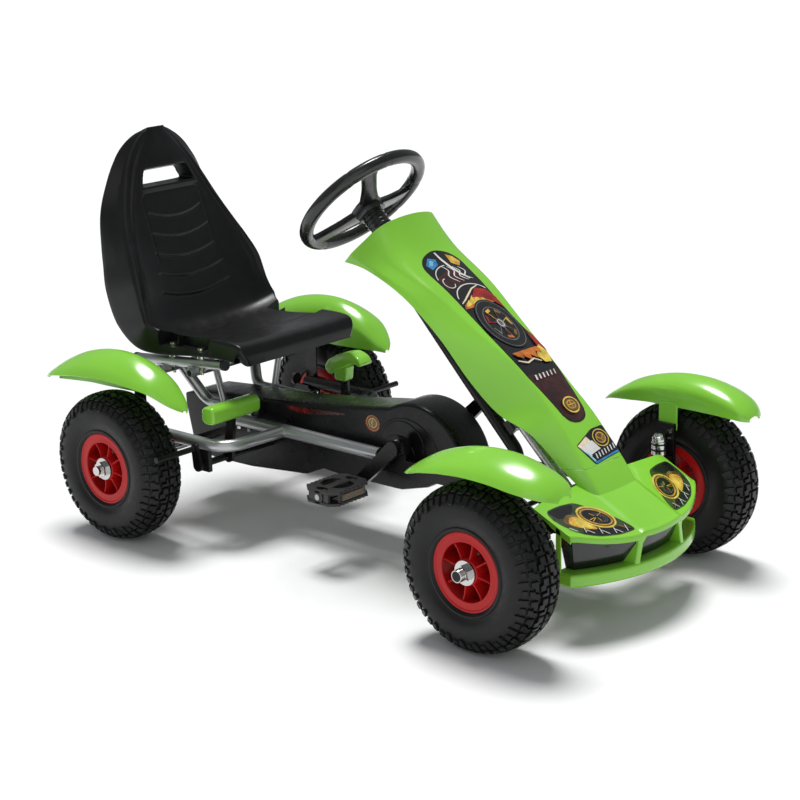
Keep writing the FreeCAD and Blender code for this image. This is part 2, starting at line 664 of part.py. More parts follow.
def rim(x, y, side, bore):
    """Moulded rim: barrel, flat outer ring, hub and eight ribs."""
    centre_z = WHEEL_RADIUS
    barrel = x_ring(x - 33, x + 33, y, centre_z, 57.9, 52)
    for way in (-1, 1):
        x0, x1 = sorted((x + way * 34.2, x + way * 30))
        barrel = barrel.fuse(x_ring(x0, x1, y, centre_z, 57.9, 46))
        x0, x1 = sorted((x + way * RIM_FACE, x + way * 33.6))
        barrel = barrel.fuse(x_ring(x0, x1, y, centre_z, RIM_RADIUS, 46))
    hub = x_rod(x - 33, x + 33, y, centre_z, 21)
    inner, outer = sorted((x - side * 24, x + side * 31))
    ribs = []
    for i in range(8):
        rib = box(inner, outer, y - 2, y + 2, centre_z + 18, centre_z + 53)
        rib.rotate(V(x, y, centre_z), V(1, 0, 0), 45 * i + 12)
        ribs.append(rib)
    whole = barrel.multiFuse([hub] + ribs)
    return whole.cut(x_rod(x - 40, x + 40, y, centre_z, bore)).removeSplitter()


def wheel_bearings(x, y):
    return [x_ring(x + a, x + b, y, WHEEL_RADIUS, 14, AXLE_RADIUS + RUNNING_GAP) for a, b in ((-33, -21), (21, 33))]


def hub_nut(x, y, side):
    """Washer and nut outside the hub, bored for the axle."""
    face = x + side * 34.0
    washer = x_rod(face, face + side * 2, y, WHEEL_RADIUS, 19)
    nut = hexagon(V(face + side * 2, y, WHEEL_RADIUS), V(face + side * 10, y, WHEEL_RADIUS), 24)
    bore = x_rod(face - side, face + side * 12, y, WHEEL_RADIUS, AXLE_RADIUS)
    return washer.fuse(nut).cut(bore).removeSplitter()


def rear_axle():
    return x_rod(-AXLE_TIP_X, AXLE_TIP_X, AXLE_Y, WHEEL_RADIUS, AXLE_RADIUS)


# ---------------------------------------------------------------- front suspension and steering
POST_X = 210.0            # middle of the knuckle's upright plate
TIE_Z = 145.0
TIE_PIN_RADIUS = 5.0
EYE_HALF = 5.0
EYE_OFFSET = 5.4          # each tie rod's eye above or below the middle of the shared pitman pin


def knuckle():
    """Bracket that holds the kingpin, with the stub axle, fender post and steering arm."""
    y = -AXLE_Y
    inside, outside = -POST_X + 3, -POST_X - 3
    upright = box(outside, inside, y - 17, y + 17, 110, 236)
    cheeks = []
    for z in (CHEEK_TOP_Z, STUB_Z):
        cheeks.append(box(inside - 1, -KINGPIN_X, y - 15, y + 15, z, z + CHEEK_THICKNESS))
        cheeks.append(z_rod(-KINGPIN_X, y, z, z + CHEEK_THICKNESS, 15))
    half = 9
    arm = box(-TIE_PIN_X - half, -TIE_PIN_X + half, y, TIE_PIN_Y, STUB_Z, STUB_Z + CHEEK_THICKNESS)
    tip = z_rod(-TIE_PIN_X, TIE_PIN_Y, STUB_Z, STUB_Z + CHEEK_THICKNESS, half)
    pin = z_rod(-TIE_PIN_X, TIE_PIN_Y, STUB_Z + 4, TIE_Z + 19, TIE_PIN_RADIUS)
    stub = x_rod(-AXLE_TIP_X, outside + 1, y, WHEEL_RADIUS, AXLE_RADIUS)
    flange = x_rod(outside - 9, outside + 1, y, WHEEL_RADIUS, 14)
    whole = upright.multiFuse(cheeks + [arm, tip, pin, stub, flange])
    hole = z_rod(-KINGPIN_X, y, 120, 190, KINGPIN_RADIUS)
    return whole.cut(hole).removeSplitter()


def kingpin():
    """Bolt through knuckle and beam, with washers and a nut standing above."""
    y = -AXLE_Y
    bolt = z_rod(-KINGPIN_X, y, STUB_Z - 6, 214, KINGPIN_RADIUS)
    head = hexagon(V(-KINGPIN_X, y, STUB_Z - 11), V(-KINGPIN_X, y, STUB_Z), KINGPIN_NUT)
    spacers = []
    base = CHEEK_TOP_Z + CHEEK_THICKNESS
    for height, radius in ((7.6, 12), (10, 10), (5, 12)):
        spacers.append(z_rod(-KINGPIN_X, y, base, base + height, radius))
        base += height
    nut = hexagon(V(-KINGPIN_X, y, base), V(-KINGPIN_X, y, base + 13), KINGPIN_NUT)
    dome = z_rod(-KINGPIN_X, y, base + 13, base + 19, 7.5)
    return bolt.multiFuse([head, nut, dome] + spacers).removeSplitter()


def pitman_pivot(along=0.0):
    """Point on the pitman plate's pin: along measures from its middle, up the column."""
    foot = (V(0, TIE_PIN_Y, TIE_Z) - column(0)).dot(column(1) - column(0))
    return column(foot + along, PITMAN_ARM)


def steering_shaft():
    """Steering shaft with the pitman plate and the pin for both tie rods."""
    below_pin, thickness = 16.5, 5.0
    foot = (pitman_pivot() - column(0)).dot(column(1) - column(0))
    low = foot - below_pin
    shaft = rod(column(low - 3), column(SHAFT_TOP), SHAFT_RADIUS)
    plate = rod(column(low), column(low + thickness), 15)
    corners = [column(low, -6, -14), column(low, -6, 14), column(low, PITMAN_ARM + 8, 9),
               column(low, PITMAN_ARM + 8, -9)]
    tongue = Part.Face(Part.makePolygon(corners + corners[:1])).extrude((column(1) - column(0)) * thickness)
    pin = rod(pitman_pivot(1 - below_pin), pitman_pivot(14), TIE_PIN_RADIUS)
    return shaft.multiFuse([plate, tongue, pin]).removeSplitter()


def tie_rod(side):
    """Tie rod: a snug eye on the pitman pin and a loose eye on the knuckle pin."""
    middle = -side * EYE_OFFSET
    inner, outer = pitman_pivot(middle), V(side * TIE_PIN_X, TIE_PIN_Y, TIE_Z)
    snug = rod(pitman_pivot(middle - EYE_HALF), pitman_pivot(middle + EYE_HALF), 10)
    loose = z_rod(side * TIE_PIN_X, TIE_PIN_Y, TIE_Z - EYE_HALF, TIE_Z + EYE_HALF, 13)
    whole = rod(inner, outer, 4.5).multiFuse([snug, loose])
    whole = whole.cut(rod(pitman_pivot(-20), pitman_pivot(20), TIE_PIN_RADIUS + RUNNING_GAP))
    return whole.cut(z_rod(side * TIE_PIN_X, TIE_PIN_Y, 120, 170, 8.2)).removeSplitter()


def steering_wheel():
    """Rim, three spokes and a hub collar on the shaft."""
    centre = V(0, STEERING_WHEEL_Y, STEERING_WHEEL_Z)
    axis = column(1) - column(0)
    up = V(0, -axis.z, axis.y)
    hub_line = (centre - column(0)).dot(axis)
    major = STEERING_WHEEL_RADIUS - STEERING_RIM_TUBE
    whole = Part.makeTorus(major, STEERING_RIM_TUBE, centre, axis)
    spokes = []
    for clock in (1, 5, 9):
        angle = math.radians(90 - 30 * clock)
        out = V(-math.cos(angle), 0, 0) + up * math.sin(angle)
        side = axis.cross(out)
        near = column(hub_line - 22)
        corners = [near + side * 15 + out * 12, near - side * 15 + out * 12,
                   centre + out * major - side * 11 - axis * 5, centre + out * major + side * 11 - axis * 5]
        spokes.append(Part.Face(Part.makePolygon(corners + corners[:1])).extrude(axis * 9))
    hub = rod(column(hub_line - 30), column(hub_line - 8), 27)
    collar = rod(column(hub_line - 62), column(hub_line - 29), 19)
    whole = whole.multiFuse(spokes + [hub, collar])
    return whole.cut(rod(column(hub_line - 80), column(SHAFT_TOP), SHAFT_RADIUS)).removeSplitter()


# ---------------------------------------------------------------- levers
def brake_arm():
    """Flat bar that carries the brake grip."""
    return link_yz((BRAKE_Y, BRAKE_Z), BRAKE_LEVER_TOP, 11, 8, *BRAKE_LEVER_X)


def brake_lever():
    """Cross shaft, the lever's flat bar, and a brake bar in front of each rear tyre."""
    inside, outside, tip = BRAKE_BAR_X
    shaft = x_rod(-outside, outside, BRAKE_Y, BRAKE_Z, BRAKE_SHAFT_RADIUS)
    pieces = [brake_arm()]
    for side in (-1, 1):
        x0, x1 = sorted((side * inside, side * outside))
        pieces.append(link_yz((BRAKE_Y, BRAKE_Z), BRAKE_BAR, 10, 7, x0, x1))
        pieces.append(x_rod(side * inside, side * tip, *BRAKE_BAR, 5))
    return shaft.multiFuse(pieces).removeSplitter()


def brake_grip():
    grip = x_rod(*BRAKE_GRIP_X, BRAKE_LEVER_TOP[0], BRAKE_GRIP_Z, BRAKE_GRIP_RADIUS)
    return grip.cut(brake_arm())


def lever_brackets():
    """Two plates that carry the brake shaft, and one for the shift lever."""
    outrigger_solid = bent_rod(outrigger_path(), OUTRIGGER_RADIUS, OUTRIGGER_BEND)
    plate = box(-OUTRIGGER_X - 4, -OUTRIGGER_X + 4, BRAKE_Y - 14, BRAKE_Y + 14, BRAKE_Z - 12, OUTRIGGER_Z)
    plate = plate.cut(outrigger_solid)
    plate = plate.cut(x_rod(-220, -180, BRAKE_Y, BRAKE_Z, BRAKE_SHAFT_RADIUS + RUNNING_GAP))
    shift = link_yz((SHIFT_Y, SHIFT_Z), (218, OUTRIGGER_Z), 11, 14, SHIFT_X - 9, SHIFT_X - 4)
    shift = shift.cut(mirrored(outrigger_solid))
    shift = shift.cut(x_rod(SHIFT_X - 20, SHIFT_X, SHIFT_Y, SHIFT_Z, SHIFT_PIN_RADIUS + RUNNING_GAP))
    return [plate, mirrored(plate), max(shift.Solids, key=lambda s: s.Volume)]


def shift_arm():
    return link_yz((SHIFT_Y, SHIFT_Z), (SHIFT_Y, SHIFT_TOP_Z), 10, 8, SHIFT_X - 3, SHIFT_X + 3)


def shift_lever():
    """Flat arm on a cross pin."""
    pin = x_rod(SHIFT_X - 12, SHIFT_X, SHIFT_Y, SHIFT_Z, SHIFT_PIN_RADIUS)
    return shift_arm().fuse(pin).removeSplitter()


def shift_grip():
    """Arched cap over the lever's top."""
    outline = [(SHIFT_Y - 12, 218), (SHIFT_Y + 12, 218), (SHIFT_Y + 14, 236), (SHIFT_Y + 44, 226),
               (SHIFT_Y + 46, 238), (SHIFT_Y + 22, 260), (SHIFT_Y - 10, 268), (SHIFT_Y - 40, 270),
               (SHIFT_Y - 56, 264), (SHIFT_Y - 62, 252), (SHIFT_Y - 44, 250), (SHIFT_Y - 14, 240)]
    return plate_yz(outline, SHIFT_X - 16, SHIFT_X + 16).cut(shift_arm())


# ---------------------------------------------------------------- plastic covers
# Nose cover stations, top to bottom: half width, y and z of the top crease, the same for the side
# wall's lower edge, and how far the top bulges above the creases.
NOSE_STATIONS = [
    (80, -38, 563, 92, 20, 502, 14), (75, -85, 513, 95, -35, 495, 7), (65, -160, 465, 96, -110, 463, 3),
    (54, -225, 418, 95, -180, 410, 1), (44, -285, 376, 90, -240, 345, 1), (40, -336, 333, 84, -292, 300, 1),
    (43, -380, 290, 78, -350, 276, 1), (47, -434, 226, 66, -402, 226, 1), (47, -461, 190, 55, -440, 191, 1)]


def nose_section(station):
    crease_x, crease_y, crease_z, low_x, low_y, low_z, bulge = station
    crease = V(0, crease_y, crease_z)
    low = V(0, low_y, low_z)
    up = (crease - low).normalize()
    outer, inner = [], []
    for fraction in (-1.0, -0.7, -0.35, 0.0, 0.35, 0.7, 1.0):
        lift = bulge * (1 - fraction * fraction)
        outer.append(crease + V(crease_x * fraction, 0, 0) + up * lift)
        inner.append(crease + V((crease_x - SHELL) * fraction, 0, 0) + up * (lift - SHELL))
    outer = [low - V(low_x, 0, 0)] + outer + [low + V(low_x, 0, 0)]
    inner = [low - V(low_x - SHELL, 0, 0)] + inner + [low + V(low_x - SHELL, 0, 0)]
    return outer + inner[::-1]


def nose_cover():
    """Cover from the steering wheel down to the bumper's hood, where it ends in a slanted cut."""
    cover = loft([nose_section(s) for s in smooth(NOSE_STATIONS, 17)])
    return max(cover.cut(under_hood(60, 0.4)).Solids, key=lambda s: s.Volume)


BUMPER_FRONT_Y = -547.0
BUMPER_SIDE_X = 166.0
BUMPER_SIDE_Y = -490.0
BUMPER_REAR_Y = -424.0
BUMPER_SKIRT_END_Y = BUMPER_SIDE_Y + 14    # where the skirt stops at the sides
HOOD_SLOPE = 25.6
HOOD_FRONT_Z = 152.5


def bumper_outline(inset):
    """Plan of the bumper at z = 0: bowed front, short straight sides."""
    side, corner, front = BUMPER_SIDE_X - inset, BUMPER_SIDE_Y, BUMPER_FRONT_Y + inset
    rear_left, rear_right = V(side, BUMPER_REAR_Y, 0), V(-side, BUMPER_REAR_Y, 0)
    front_left, front_right = V(side, corner, 0), V(-side, corner, 0)
    return Part.Face(Part.Wire([
        Part.LineSegment(rear_left, front_left).toShape(),
        Part.Arc(front_left, V(0, front, 0), front_right).toShape(),
        Part.LineSegment(front_right, rear_right).toShape(),
        Part.LineSegment(rear_right, rear_left).toShape()]))


def bumper_slab(face, z0, z1):
    slab = face.extrude(V(0, 0, z1 - z0))
    slab.translate(V(0, 0, z0))
    return slab


def under_hood(depth, gap=0.0):
    """Block under the hood's sloping top face, raised by gap."""
    block = Part.makeBox(400, 150, depth, V(-200, 0, -depth))
    block.rotate(V(0, 0, 0), V(1, 0, 0), HOOD_SLOPE)
    block.translate(V(0, BUMPER_FRONT_Y + 4, HOOD_FRONT_Z + gap))
    return block


def bumper():
    """Sloping hood, front skirt, lower lip and the posts between them."""
    hood = under_hood(4).common(bumper_slab(bumper_outline(0), 100, 260))
    behind = box(-300, 300, BUMPER_SKIRT_END_Y, 0, 0, 300)
    band = bumper_outline(0).cut(bumper_outline(4))
    wall = bumper_slab(band, 86, HOOD_FRONT_Z - 0.5).cut(behind)
    lip = bumper_slab(bumper_outline(0).cut(bumper_outline(20)), 84, 90).cut(behind)
    for x0, x1 in ((-150, -64), (-46, 46), (64, 150)):
        wall = wall.cut(box(x0, x1, -600, -400, 108, 144))
    whole = hood.multiFuse([wall, lip]).removeSplitter()
    return max(whole.Solids, key=lambda s: s.Volume)


def bumper_grille():
    """Dark panel behind the bumper's windows."""
    band = bumper_outline(4.4).cut(bumper_outline(8))
    panel = bumper_slab(band, 91, 151).cut(box(-300, 300, BUMPER_SKIRT_END_Y - 4, 0, 0, 300))
    return panel.cut(bumper())


def bumper_stays():
    """Two straps from the axle beam to the back of the grille."""
    grille = bumper_grille()
    stays = [box(side * 100 - 10, side * 100 + 10, -520, -AXLE_Y - BEAM_HALF, 140.5, 145.5) for side in (-1, 1)]
    return [max(stay.cut(grille).Solids, key=lambda s: s.Volume) for stay in stays]


# Fender stations along y: y, crest z, outer edge z, outer x, crest x, inner x, and the inner wall's lower z.
REAR_FENDER = [
    (244, 250, 248, 258, 252, 246, 244), (258, 268, 262, 288, 256, 234, 248), (290, 300, 281, 300, 258, 224, 250),
    (330, 320, 287, 305, 258, 219, 250), (375, 330, 290, 306, 258, 218, 250), (425, 329, 289, 306, 258, 218, 248),
    (475, 319, 284, 304, 258, 219, 247), (520, 302, 276, 298, 258, 221, 247), (555, 283, 268, 288, 257, 226, 246),
    (576, 268, 261, 277, 256, 235, 247), (583, 260, 257, 267, 255, 244, 249)]
FRONT_FENDER = [
    (-254, 246, 244, 262, 255, 248, 242), (-275, 262, 252, 280, 256, 236, 250), (-318, 287, 266, 298, 256, 224, 257),
    (-361, 302, 274, 305, 256, 218, 262), (-405, 310, 278, 308, 256, 216, 263), (-450, 310, 277, 308, 256, 216, 263),
    (-490, 302, 272, 306, 256, 217, 262), (-520, 290, 267, 303, 257, 219, 260), (-537, 277, 262, 296, 258, 224, 258),
    (-545, 265, 259, 283, 258, 236, 256)]


def fender_section(station):
    """Closed outline in a plane of constant y: inner wall, crest and outer edge."""
    y, crest, edge, x_out, x_crest, x_in, low = station
    rise, fall = crest - low, crest - edge
    inwards, outwards = x_crest - x_in, x_out - x_crest
    outer = [(x_in, low), (x_in, low + 0.55 * rise), (x_in + 0.22 * inwards, crest - 0.2 * rise),
             (x_in + 0.6 * inwards, crest - 0.05 * rise), (x_crest, crest),
             (x_crest + 0.5 * outwards, crest - 0.25 * fall), (x_crest + 0.85 * outwards, crest - 0.62 * fall),
             (x_out, edge)]
    middle = 0.5 * (x_in + x_out)
    inner = []
    for x, z in outer:
        pull = max(-1.0, min(1.0, (x - middle) / (0.5 * (x_out - x_in))))
        top = max(0.0, min(1.0, (z - low) / max(1.0, rise)))
        inner.append((x - SHELL * pull, z - SHELL * top * (1 - 0.6 * abs(pull))))
    return [V(-x, y, z) for x, z in outer + inner[::-1]]


def fender(stations):
    shell = loft([fender_section(s) for s in smooth(stations, 16)])
    return max(shell.Solids, key=lambda s: s.Volume)


def fender_stay(fender_shell):
    """Steel strap from the axle's bearing block up to the rear fender's inner wall."""
    inside, outside = -OUTRIGGER_X - 13, -OUTRIGGER_X - 15.5
    strap = box(outside, inside, AXLE_Y - 14, AXLE_Y + 14, 150, 290)
    strap = strap.cut(x_rod(outside - 1, inside + 1, AXLE_Y, WHEEL_RADIUS, BEARING_OUTER + 4))
    boss = box(outside - 8, outside, AXLE_Y - 10, AXLE_Y + 10, 262, 286).cut(fender_shell)
    boss = max(boss.Solids, key=lambda s: s.BoundBox.XMax)
    return strap.fuse(boss).removeSplitter()


def front_fender():
    """Fender with the tab that bolts to the knuckle's post."""
    y = -AXLE_Y
    tab = box(-POST_X - 7.5, -POST_X - 3, y - 17, y + 17, 222, 272)
    return fender(FRONT_FENDER).fuse(tab).removeSplitter()


# ---------------------------------------------------------------- all nodes
def main():
    os.makedirs("parts", exist_ok=True)
    save("main_tubes", main_tube(-1), main_tube(1))
    bars = side_bar()
    save("side_bars", bars, mirrored(bars))
    save("front_axle_beam", front_axle_beam())
    save("column_support", column_support())
    save("steering_bushes", *steering_bushes())
    arms = outrigger()
    save("outriggers", arms, mirrored(arms))
    block = axle_block()
    save("axle_bearing_blocks", block, mirrored(block))
    save("ball_bearings", *ball_bearings())
    save("frame_bolts", *frame_bolts())

    save("seat_supports", seat_support(-1), seat_support(1))
    save("seat_cross_tubes", *seat_cross_tubes())
    seat_tube = seat_rail()
    save("seat_rails", seat_tube, mirrored(seat_tube))
    save("tube_end_caps", *rail_end_caps())
    seat = seat_shell()
    save("seat_shell", seat)
    save("seat_bolts", *seat_bolts(seat))

    save_pair("chain_case", chain_case_half())
    save("chain", chain_band(-3.4, -2.0), chain_band(2.0, 3.4))
    save("rear_sprocket", toothed_wheel(SPROCKET_TEETH, AXLE_Y, WHEEL_RADIUS, 1.5, AXLE_RADIUS))
    save("chainring", toothed_wheel(CHAINRING_TEETH, CRANK_Y, CRANK_Z, 1.5, AXLE_RADIUS))
    save("crank", crank())
    save("pedal_spindles", *pedal_spindles())
    save("pedal_right", pedal(-1))
    save("pedal_left", pedal(1))

    save("rear_axle", rear_axle())
    for name, side in (("right", -1), ("left", 1)):
        front_x, rear_x = side * FRONT_HALF_TRACK, side * REAR_HALF_TRACK
        save("front_tyre_" + name, tyre(front_x, -AXLE_Y))
        save("front_rim_" + name, rim(front_x, -AXLE_Y, side, 14.0))
        save("front_bearings_" + name, *wheel_bearings(front_x, -AXLE_Y))
        save("front_hub_nut_" + name, hub_nut(front_x, -AXLE_Y, side))
        save("rear_tyre_" + name, tyre(rear_x, AXLE_Y))
        save("rear_rim_" + name, rim(rear_x, AXLE_Y, side, AXLE_RADIUS))
    save("rear_hub_nuts", *[hub_nut(side * REAR_HALF_TRACK, AXLE_Y, side) for side in (-1, 1)])

    save_pair("knuckle", knuckle())
    save_pair("kingpin", kingpin())
    save("tie_rod_right", tie_rod(-1))
    save("tie_rod_left", tie_rod(1))
    save_pair("front_fender", front_fender())
    save("steering_shaft", steering_shaft())
    save("steering_wheel", steering_wheel())

    save("brake_lever", brake_lever())
    save("brake_grip", brake_grip())
    save("lever_brackets", *lever_brackets())
    save("shift_lever", shift_lever())
    save("shift_grip", shift_grip())

    save("nose_cover", nose_cover())
    save("bumper", bumper())
    save("bumper_grille", bumper_grille())
    save("bumper_stays", *bumper_stays())
    fender_shell = fender(REAR_FENDER)
    save_pair("rear_fender", fender_shell)
    stay = fender_stay(fender_shell)
    save("fender_stays", stay, mirrored(stay))


main()
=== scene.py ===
"""Looks of the pedal go kart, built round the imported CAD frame.

Sizes are written in millimetres. Places are written as (x, y, z) with y measured from the middle of the
wheelbase, and place() turns them into the frame's metres. The kart's front faces -Y.
"""

import math

import bmesh
import bpy
from mathutils import Matrix, Vector, geometry


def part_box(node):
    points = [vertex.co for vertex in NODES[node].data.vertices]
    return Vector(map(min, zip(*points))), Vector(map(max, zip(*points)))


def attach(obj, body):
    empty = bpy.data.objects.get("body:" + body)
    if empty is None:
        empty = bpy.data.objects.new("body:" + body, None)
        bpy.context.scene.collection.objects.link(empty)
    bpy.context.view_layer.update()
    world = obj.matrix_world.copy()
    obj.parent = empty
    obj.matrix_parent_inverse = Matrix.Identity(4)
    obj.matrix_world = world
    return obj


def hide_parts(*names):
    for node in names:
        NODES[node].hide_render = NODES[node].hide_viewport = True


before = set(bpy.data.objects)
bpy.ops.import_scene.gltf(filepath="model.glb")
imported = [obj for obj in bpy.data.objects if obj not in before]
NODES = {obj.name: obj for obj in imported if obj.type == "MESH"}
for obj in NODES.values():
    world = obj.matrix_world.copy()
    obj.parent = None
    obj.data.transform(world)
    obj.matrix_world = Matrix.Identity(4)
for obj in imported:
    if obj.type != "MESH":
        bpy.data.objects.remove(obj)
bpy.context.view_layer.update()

MM = 0.001


def middle_of(node):
    low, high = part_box(node)
    return (low + high) / 2


MID_Y = (middle_of("rear_tyre_right").y + middle_of("front_tyre_right").y) / 2
AXLE_Y = (middle_of("rear_tyre_right").y - middle_of("front_tyre_right").y) / 2 / MM
WHEEL_RADIUS = 130.0


def place(x, y, z):
    return Vector((x * MM, y * MM + MID_Y, z * MM))


def link(name, data):
    """New object in the scene."""
    obj = bpy.data.objects.new(name, data)
    bpy.context.scene.collection.objects.link(obj)
    return obj


# ---------------------------------------------------------------- mesh helpers
def mesh_object(name, points, faces, material):
    """Mesh from points in millimetres."""
    mesh = bpy.data.meshes.new(name)
    mesh.from_pydata([place(*p) for p in points], [], faces)
    mesh.materials.append(material)
    obj = link(name, mesh)
    tidy_normals(mesh)
    return obj


def tidy_normals(mesh):
    bm = bmesh.new()
    bm.from_mesh(mesh)
    bmesh.ops.remove_doubles(bm, verts=bm.verts, dist=1e-6)
    bmesh.ops.recalc_face_normals(bm, faces=bm.faces)
    bm.to_mesh(mesh)
    bm.free()


def shade(obj, angle=35.0):
    """Smooth shading, sharp where faces meet at more than the angle."""
    obj.data.polygons.foreach_set("use_smooth", [True] * len(obj.data.polygons))
    obj.data.set_sharp_from_angle(angle=math.radians(angle))


def bevel(obj, width, segments=2, angle=35.0):
    modifier = obj.modifiers.new("bevel", "BEVEL")
    modifier.width = width * MM
    modifier.segments = segments
    modifier.limit_method = "ANGLE"
    modifier.angle_limit = math.radians(angle)
    modifier.harden_normals = True


def apply_modifiers(obj):
    """Leave only the evaluated mesh on the object."""
    bpy.context.view_layer.update()
    graph = bpy.context.evaluated_depsgraph_get()
    mesh = bpy.data.meshes.new_from_object(obj.evaluated_get(graph))
    obj.modifiers.clear()
    obj.data = mesh


def turn_faces(obj, away_from_middle):
    """Turn an open shell's faces upwards, or away from its own middle."""
    bm = bmesh.new()
    bm.from_mesh(obj.data)
    middle = sum((v.co for v in bm.verts), Vector()) / len(bm.verts)
    total = 0.0
    for face in bm.faces:
        way = face.calc_center_median() - middle if away_from_middle else Vector((0, 0, 1))
        total += way.dot(face.normal) * face.calc_area()
    if total < 0:
        bmesh.ops.reverse_faces(bm, faces=bm.faces)
    bm.to_mesh(obj.data)
    bm.free()


def thicken(obj, wall, away_from_middle=False):
    """Give an open shell a wall on the inner side of its faces."""
    turn_faces(obj, away_from_middle)
    solid = obj.modifiers.new("wall", "SOLIDIFY")
    solid.thickness = wall * MM
    solid.offset = -1.0
    apply_modifiers(obj)


def carve(obj, cutter):
    """Cut one mesh out of another, and remove the cutter."""
    modifier = obj.modifiers.new("carve", "BOOLEAN")
    modifier.operation = "DIFFERENCE"
    modifier.solver = "EXACT"
    modifier.object = cutter
    apply_modifiers(obj)
    bpy.data.objects.remove(cutter)


def settle(obj, body, stands_for=()):
    """Ride on the body and stand for CAD nodes."""
    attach(obj, body)
    if stands_for:
        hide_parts(*stands_for)
    return obj


def grid_faces(rows, columns, wrap_rows=False, wrap_columns=False, first=0):
    faces = []
    for i in range(rows if wrap_rows else rows - 1):
        for j in range(columns if wrap_columns else columns - 1):
            below = first + i * columns
            above = first + (i + 1) % rows * columns
            after = (j + 1) % columns
            faces.append((below + j, below + after, above + after, above + j))
    return faces


def loft(name, sections, material, caps=True, closed=True, ring=False):
    """Surface through sections of equally many points; closed sections get end caps."""
    columns = len(sections[0])
    points = [p for section in sections for p in section]
    faces = grid_faces(len(sections), columns, ring, closed)
    if caps and closed and not ring:
        faces.append(tuple(range(columns)))
        faces.append(tuple(range(len(points) - 1, len(points) - columns - 1, -1)))
    return mesh_object(name, points, faces, material)


def join(pieces, name):
    """Join meshes into one object."""
    bm = bmesh.new()
    materials = []
    for obj in pieces:
        apply_modifiers(obj)
        offset = len(materials)
        materials += list(obj.data.materials)
        part = bmesh.new()
        part.from_mesh(obj.data)
        for face in part.faces:
            face.material_index += offset
        part.to_mesh(obj.data)
        part.free()
        bm.from_mesh(obj.data)
        bpy.data.objects.remove(obj)
    mesh = bpy.data.meshes.new(name)
    bm.to_mesh(mesh)
    bm.free()
    for material in materials:
        mesh.materials.append(material)
    return link(name, mesh)


def blend_four(before, start, end, after, u):
    """Catmull-Rom blend of four number tuples: start at u = 0, end at u = 1."""
    return tuple(0.5 * (2 * b + (c - a) * u + (2 * a - 5 * b + 4 * c - d) * u * u
                        + (3 * b - a - 3 * c + d) * u ** 3)
                 for a, b, c, d in zip(before, start, end, after))


def catmull(points, t):
    """Point at t, from 0 to 1 by length, on a smooth curve through number tuples."""
    reach = [0.0]
    for a, b in zip(points, points[1:]):
        reach.append(reach[-1] + math.dist(a[:3], b[:3]))
    s = reach[-1] * min(max(t, 0.0), 1.0)
    k = 0
    while k < len(points) - 2 and reach[k + 1] <= s:
        k += 1
    u = (s - reach[k]) / (reach[k + 1] - reach[k])
    return blend_four(points[max(k - 1, 0)], points[k], points[k + 1],
                      points[min(k + 2, len(points) - 1)], u)


def lerp(a, b, t):
    return a + (b - a) * t


def step(low, high, value):
    """Smooth step from 0 at low to 1 at high."""
    t = min(max((value - low) / (high - low), 0.0), 1.0)
    return t * t * (3 - 2 * t)


def bell(distance, width):
    return math.exp(-(distance / width) ** 2)


def neighbours(points):
    """Each point of a closed outline with the ones before and after it."""
    return zip(points[-1:] + points[:-1], points, points[1:] + points[:1])


def rounded(corners, radius, count=5):
    """Closed 2-D outline with its corners rounded."""
    result = []
    for before, corner, after in neighbours(corners):
        corner = Vector(corner)
        back, ahead = Vector(before) - corner, Vector(after) - corner
        reach = min(radius, 0.45 * back.length, 0.45 * ahead.length)
        start, end = corner + back.normalized() * reach, corner + ahead.normalized() * reach
        for i in range(count):
            t = i / (count - 1)
            result.append(tuple(start * (1 - t) ** 2 + corner * 2 * t * (1 - t) + end * t ** 2))
    return result


def circle(radius, count, turn=0.0):
    angles = [2 * math.pi * i / count + turn for i in range(count)]
    return [(radius * math.cos(angle), radius * math.sin(angle)) for angle in angles]


def tube(name, path, radius, material, count=16):
    """Round tube along a list of points in millimetres, kept from twisting."""
    path = [Vector(p) for p in path]
    sections = []
    side = None
    for i, point in enumerate(path):
        ahead = (path[min(i + 1, len(path) - 1)] - path[max(i - 1, 0)]).normalized()
        if side is None:
            side = ahead.orthogonal().normalized()
        side = (side - ahead * side.dot(ahead)).normalized()
        other = ahead.cross(side)
        r = radius[i] if isinstance(radius, (list, tuple)) else radius
        sections.append([tuple(point + side * (r * c) + other * (r * s)) for c, s in circle(1.0, count)])
    return loft(name, sections, material)


def turned(name, profile, x, y, z, material, count=96):
    """Solid of revolution about an X axis: a closed outline of (x, radius) points."""
    sections = []
    for i in range(count):
        angle = 2 * math.pi * i / count
        sections.append([(x + px, y + r * math.cos(angle), z + r * math.sin(angle)) for px, r in profile])
    return loft(name, sections, material, ring=True)


# ---------------------------------------------------------------- materials
def node_material(name, roughness, metallic=0.0, coat=0.0, coat_roughness=0.05, specular=0.5):
    material = bpy.data.materials.new(name)
    material.use_nodes = True
    shader = material.node_tree.nodes["Principled BSDF"]
    shader.inputs["Roughness"].default_value = roughness
    shader.inputs["Metallic"].default_value = metallic
    shader.inputs["Coat Weight"].default_value = coat
    shader.inputs["Coat Roughness"].default_value = coat_roughness
    shader.inputs["Specular IOR Level"].default_value = specular
    return material, material.node_tree, shader


def noise_node(tree, scale, detail=3.0):
    place_node = tree.nodes.new("ShaderNodeTexCoord")
    noise = tree.nodes.new("ShaderNodeTexNoise")
    noise.inputs["Scale"].default_value = scale
    noise.inputs["Detail"].default_value = detail
    tree.links.new(place_node.outputs["Object"], noise.inputs["Vector"])
    return noise


def ramp_node(tree, source, low, high, low_at=0.35, high_at=0.65):
    ramp = tree.nodes.new("ShaderNodeValToRGB")
    ramp.color_ramp.elements[0].position = low_at
    ramp.color_ramp.elements[1].position = high_at
    ramp.color_ramp.elements[0].color = low
    ramp.color_ramp.elements[1].color = high
    tree.links.new(source, ramp.inputs["Fac"])
    return ramp


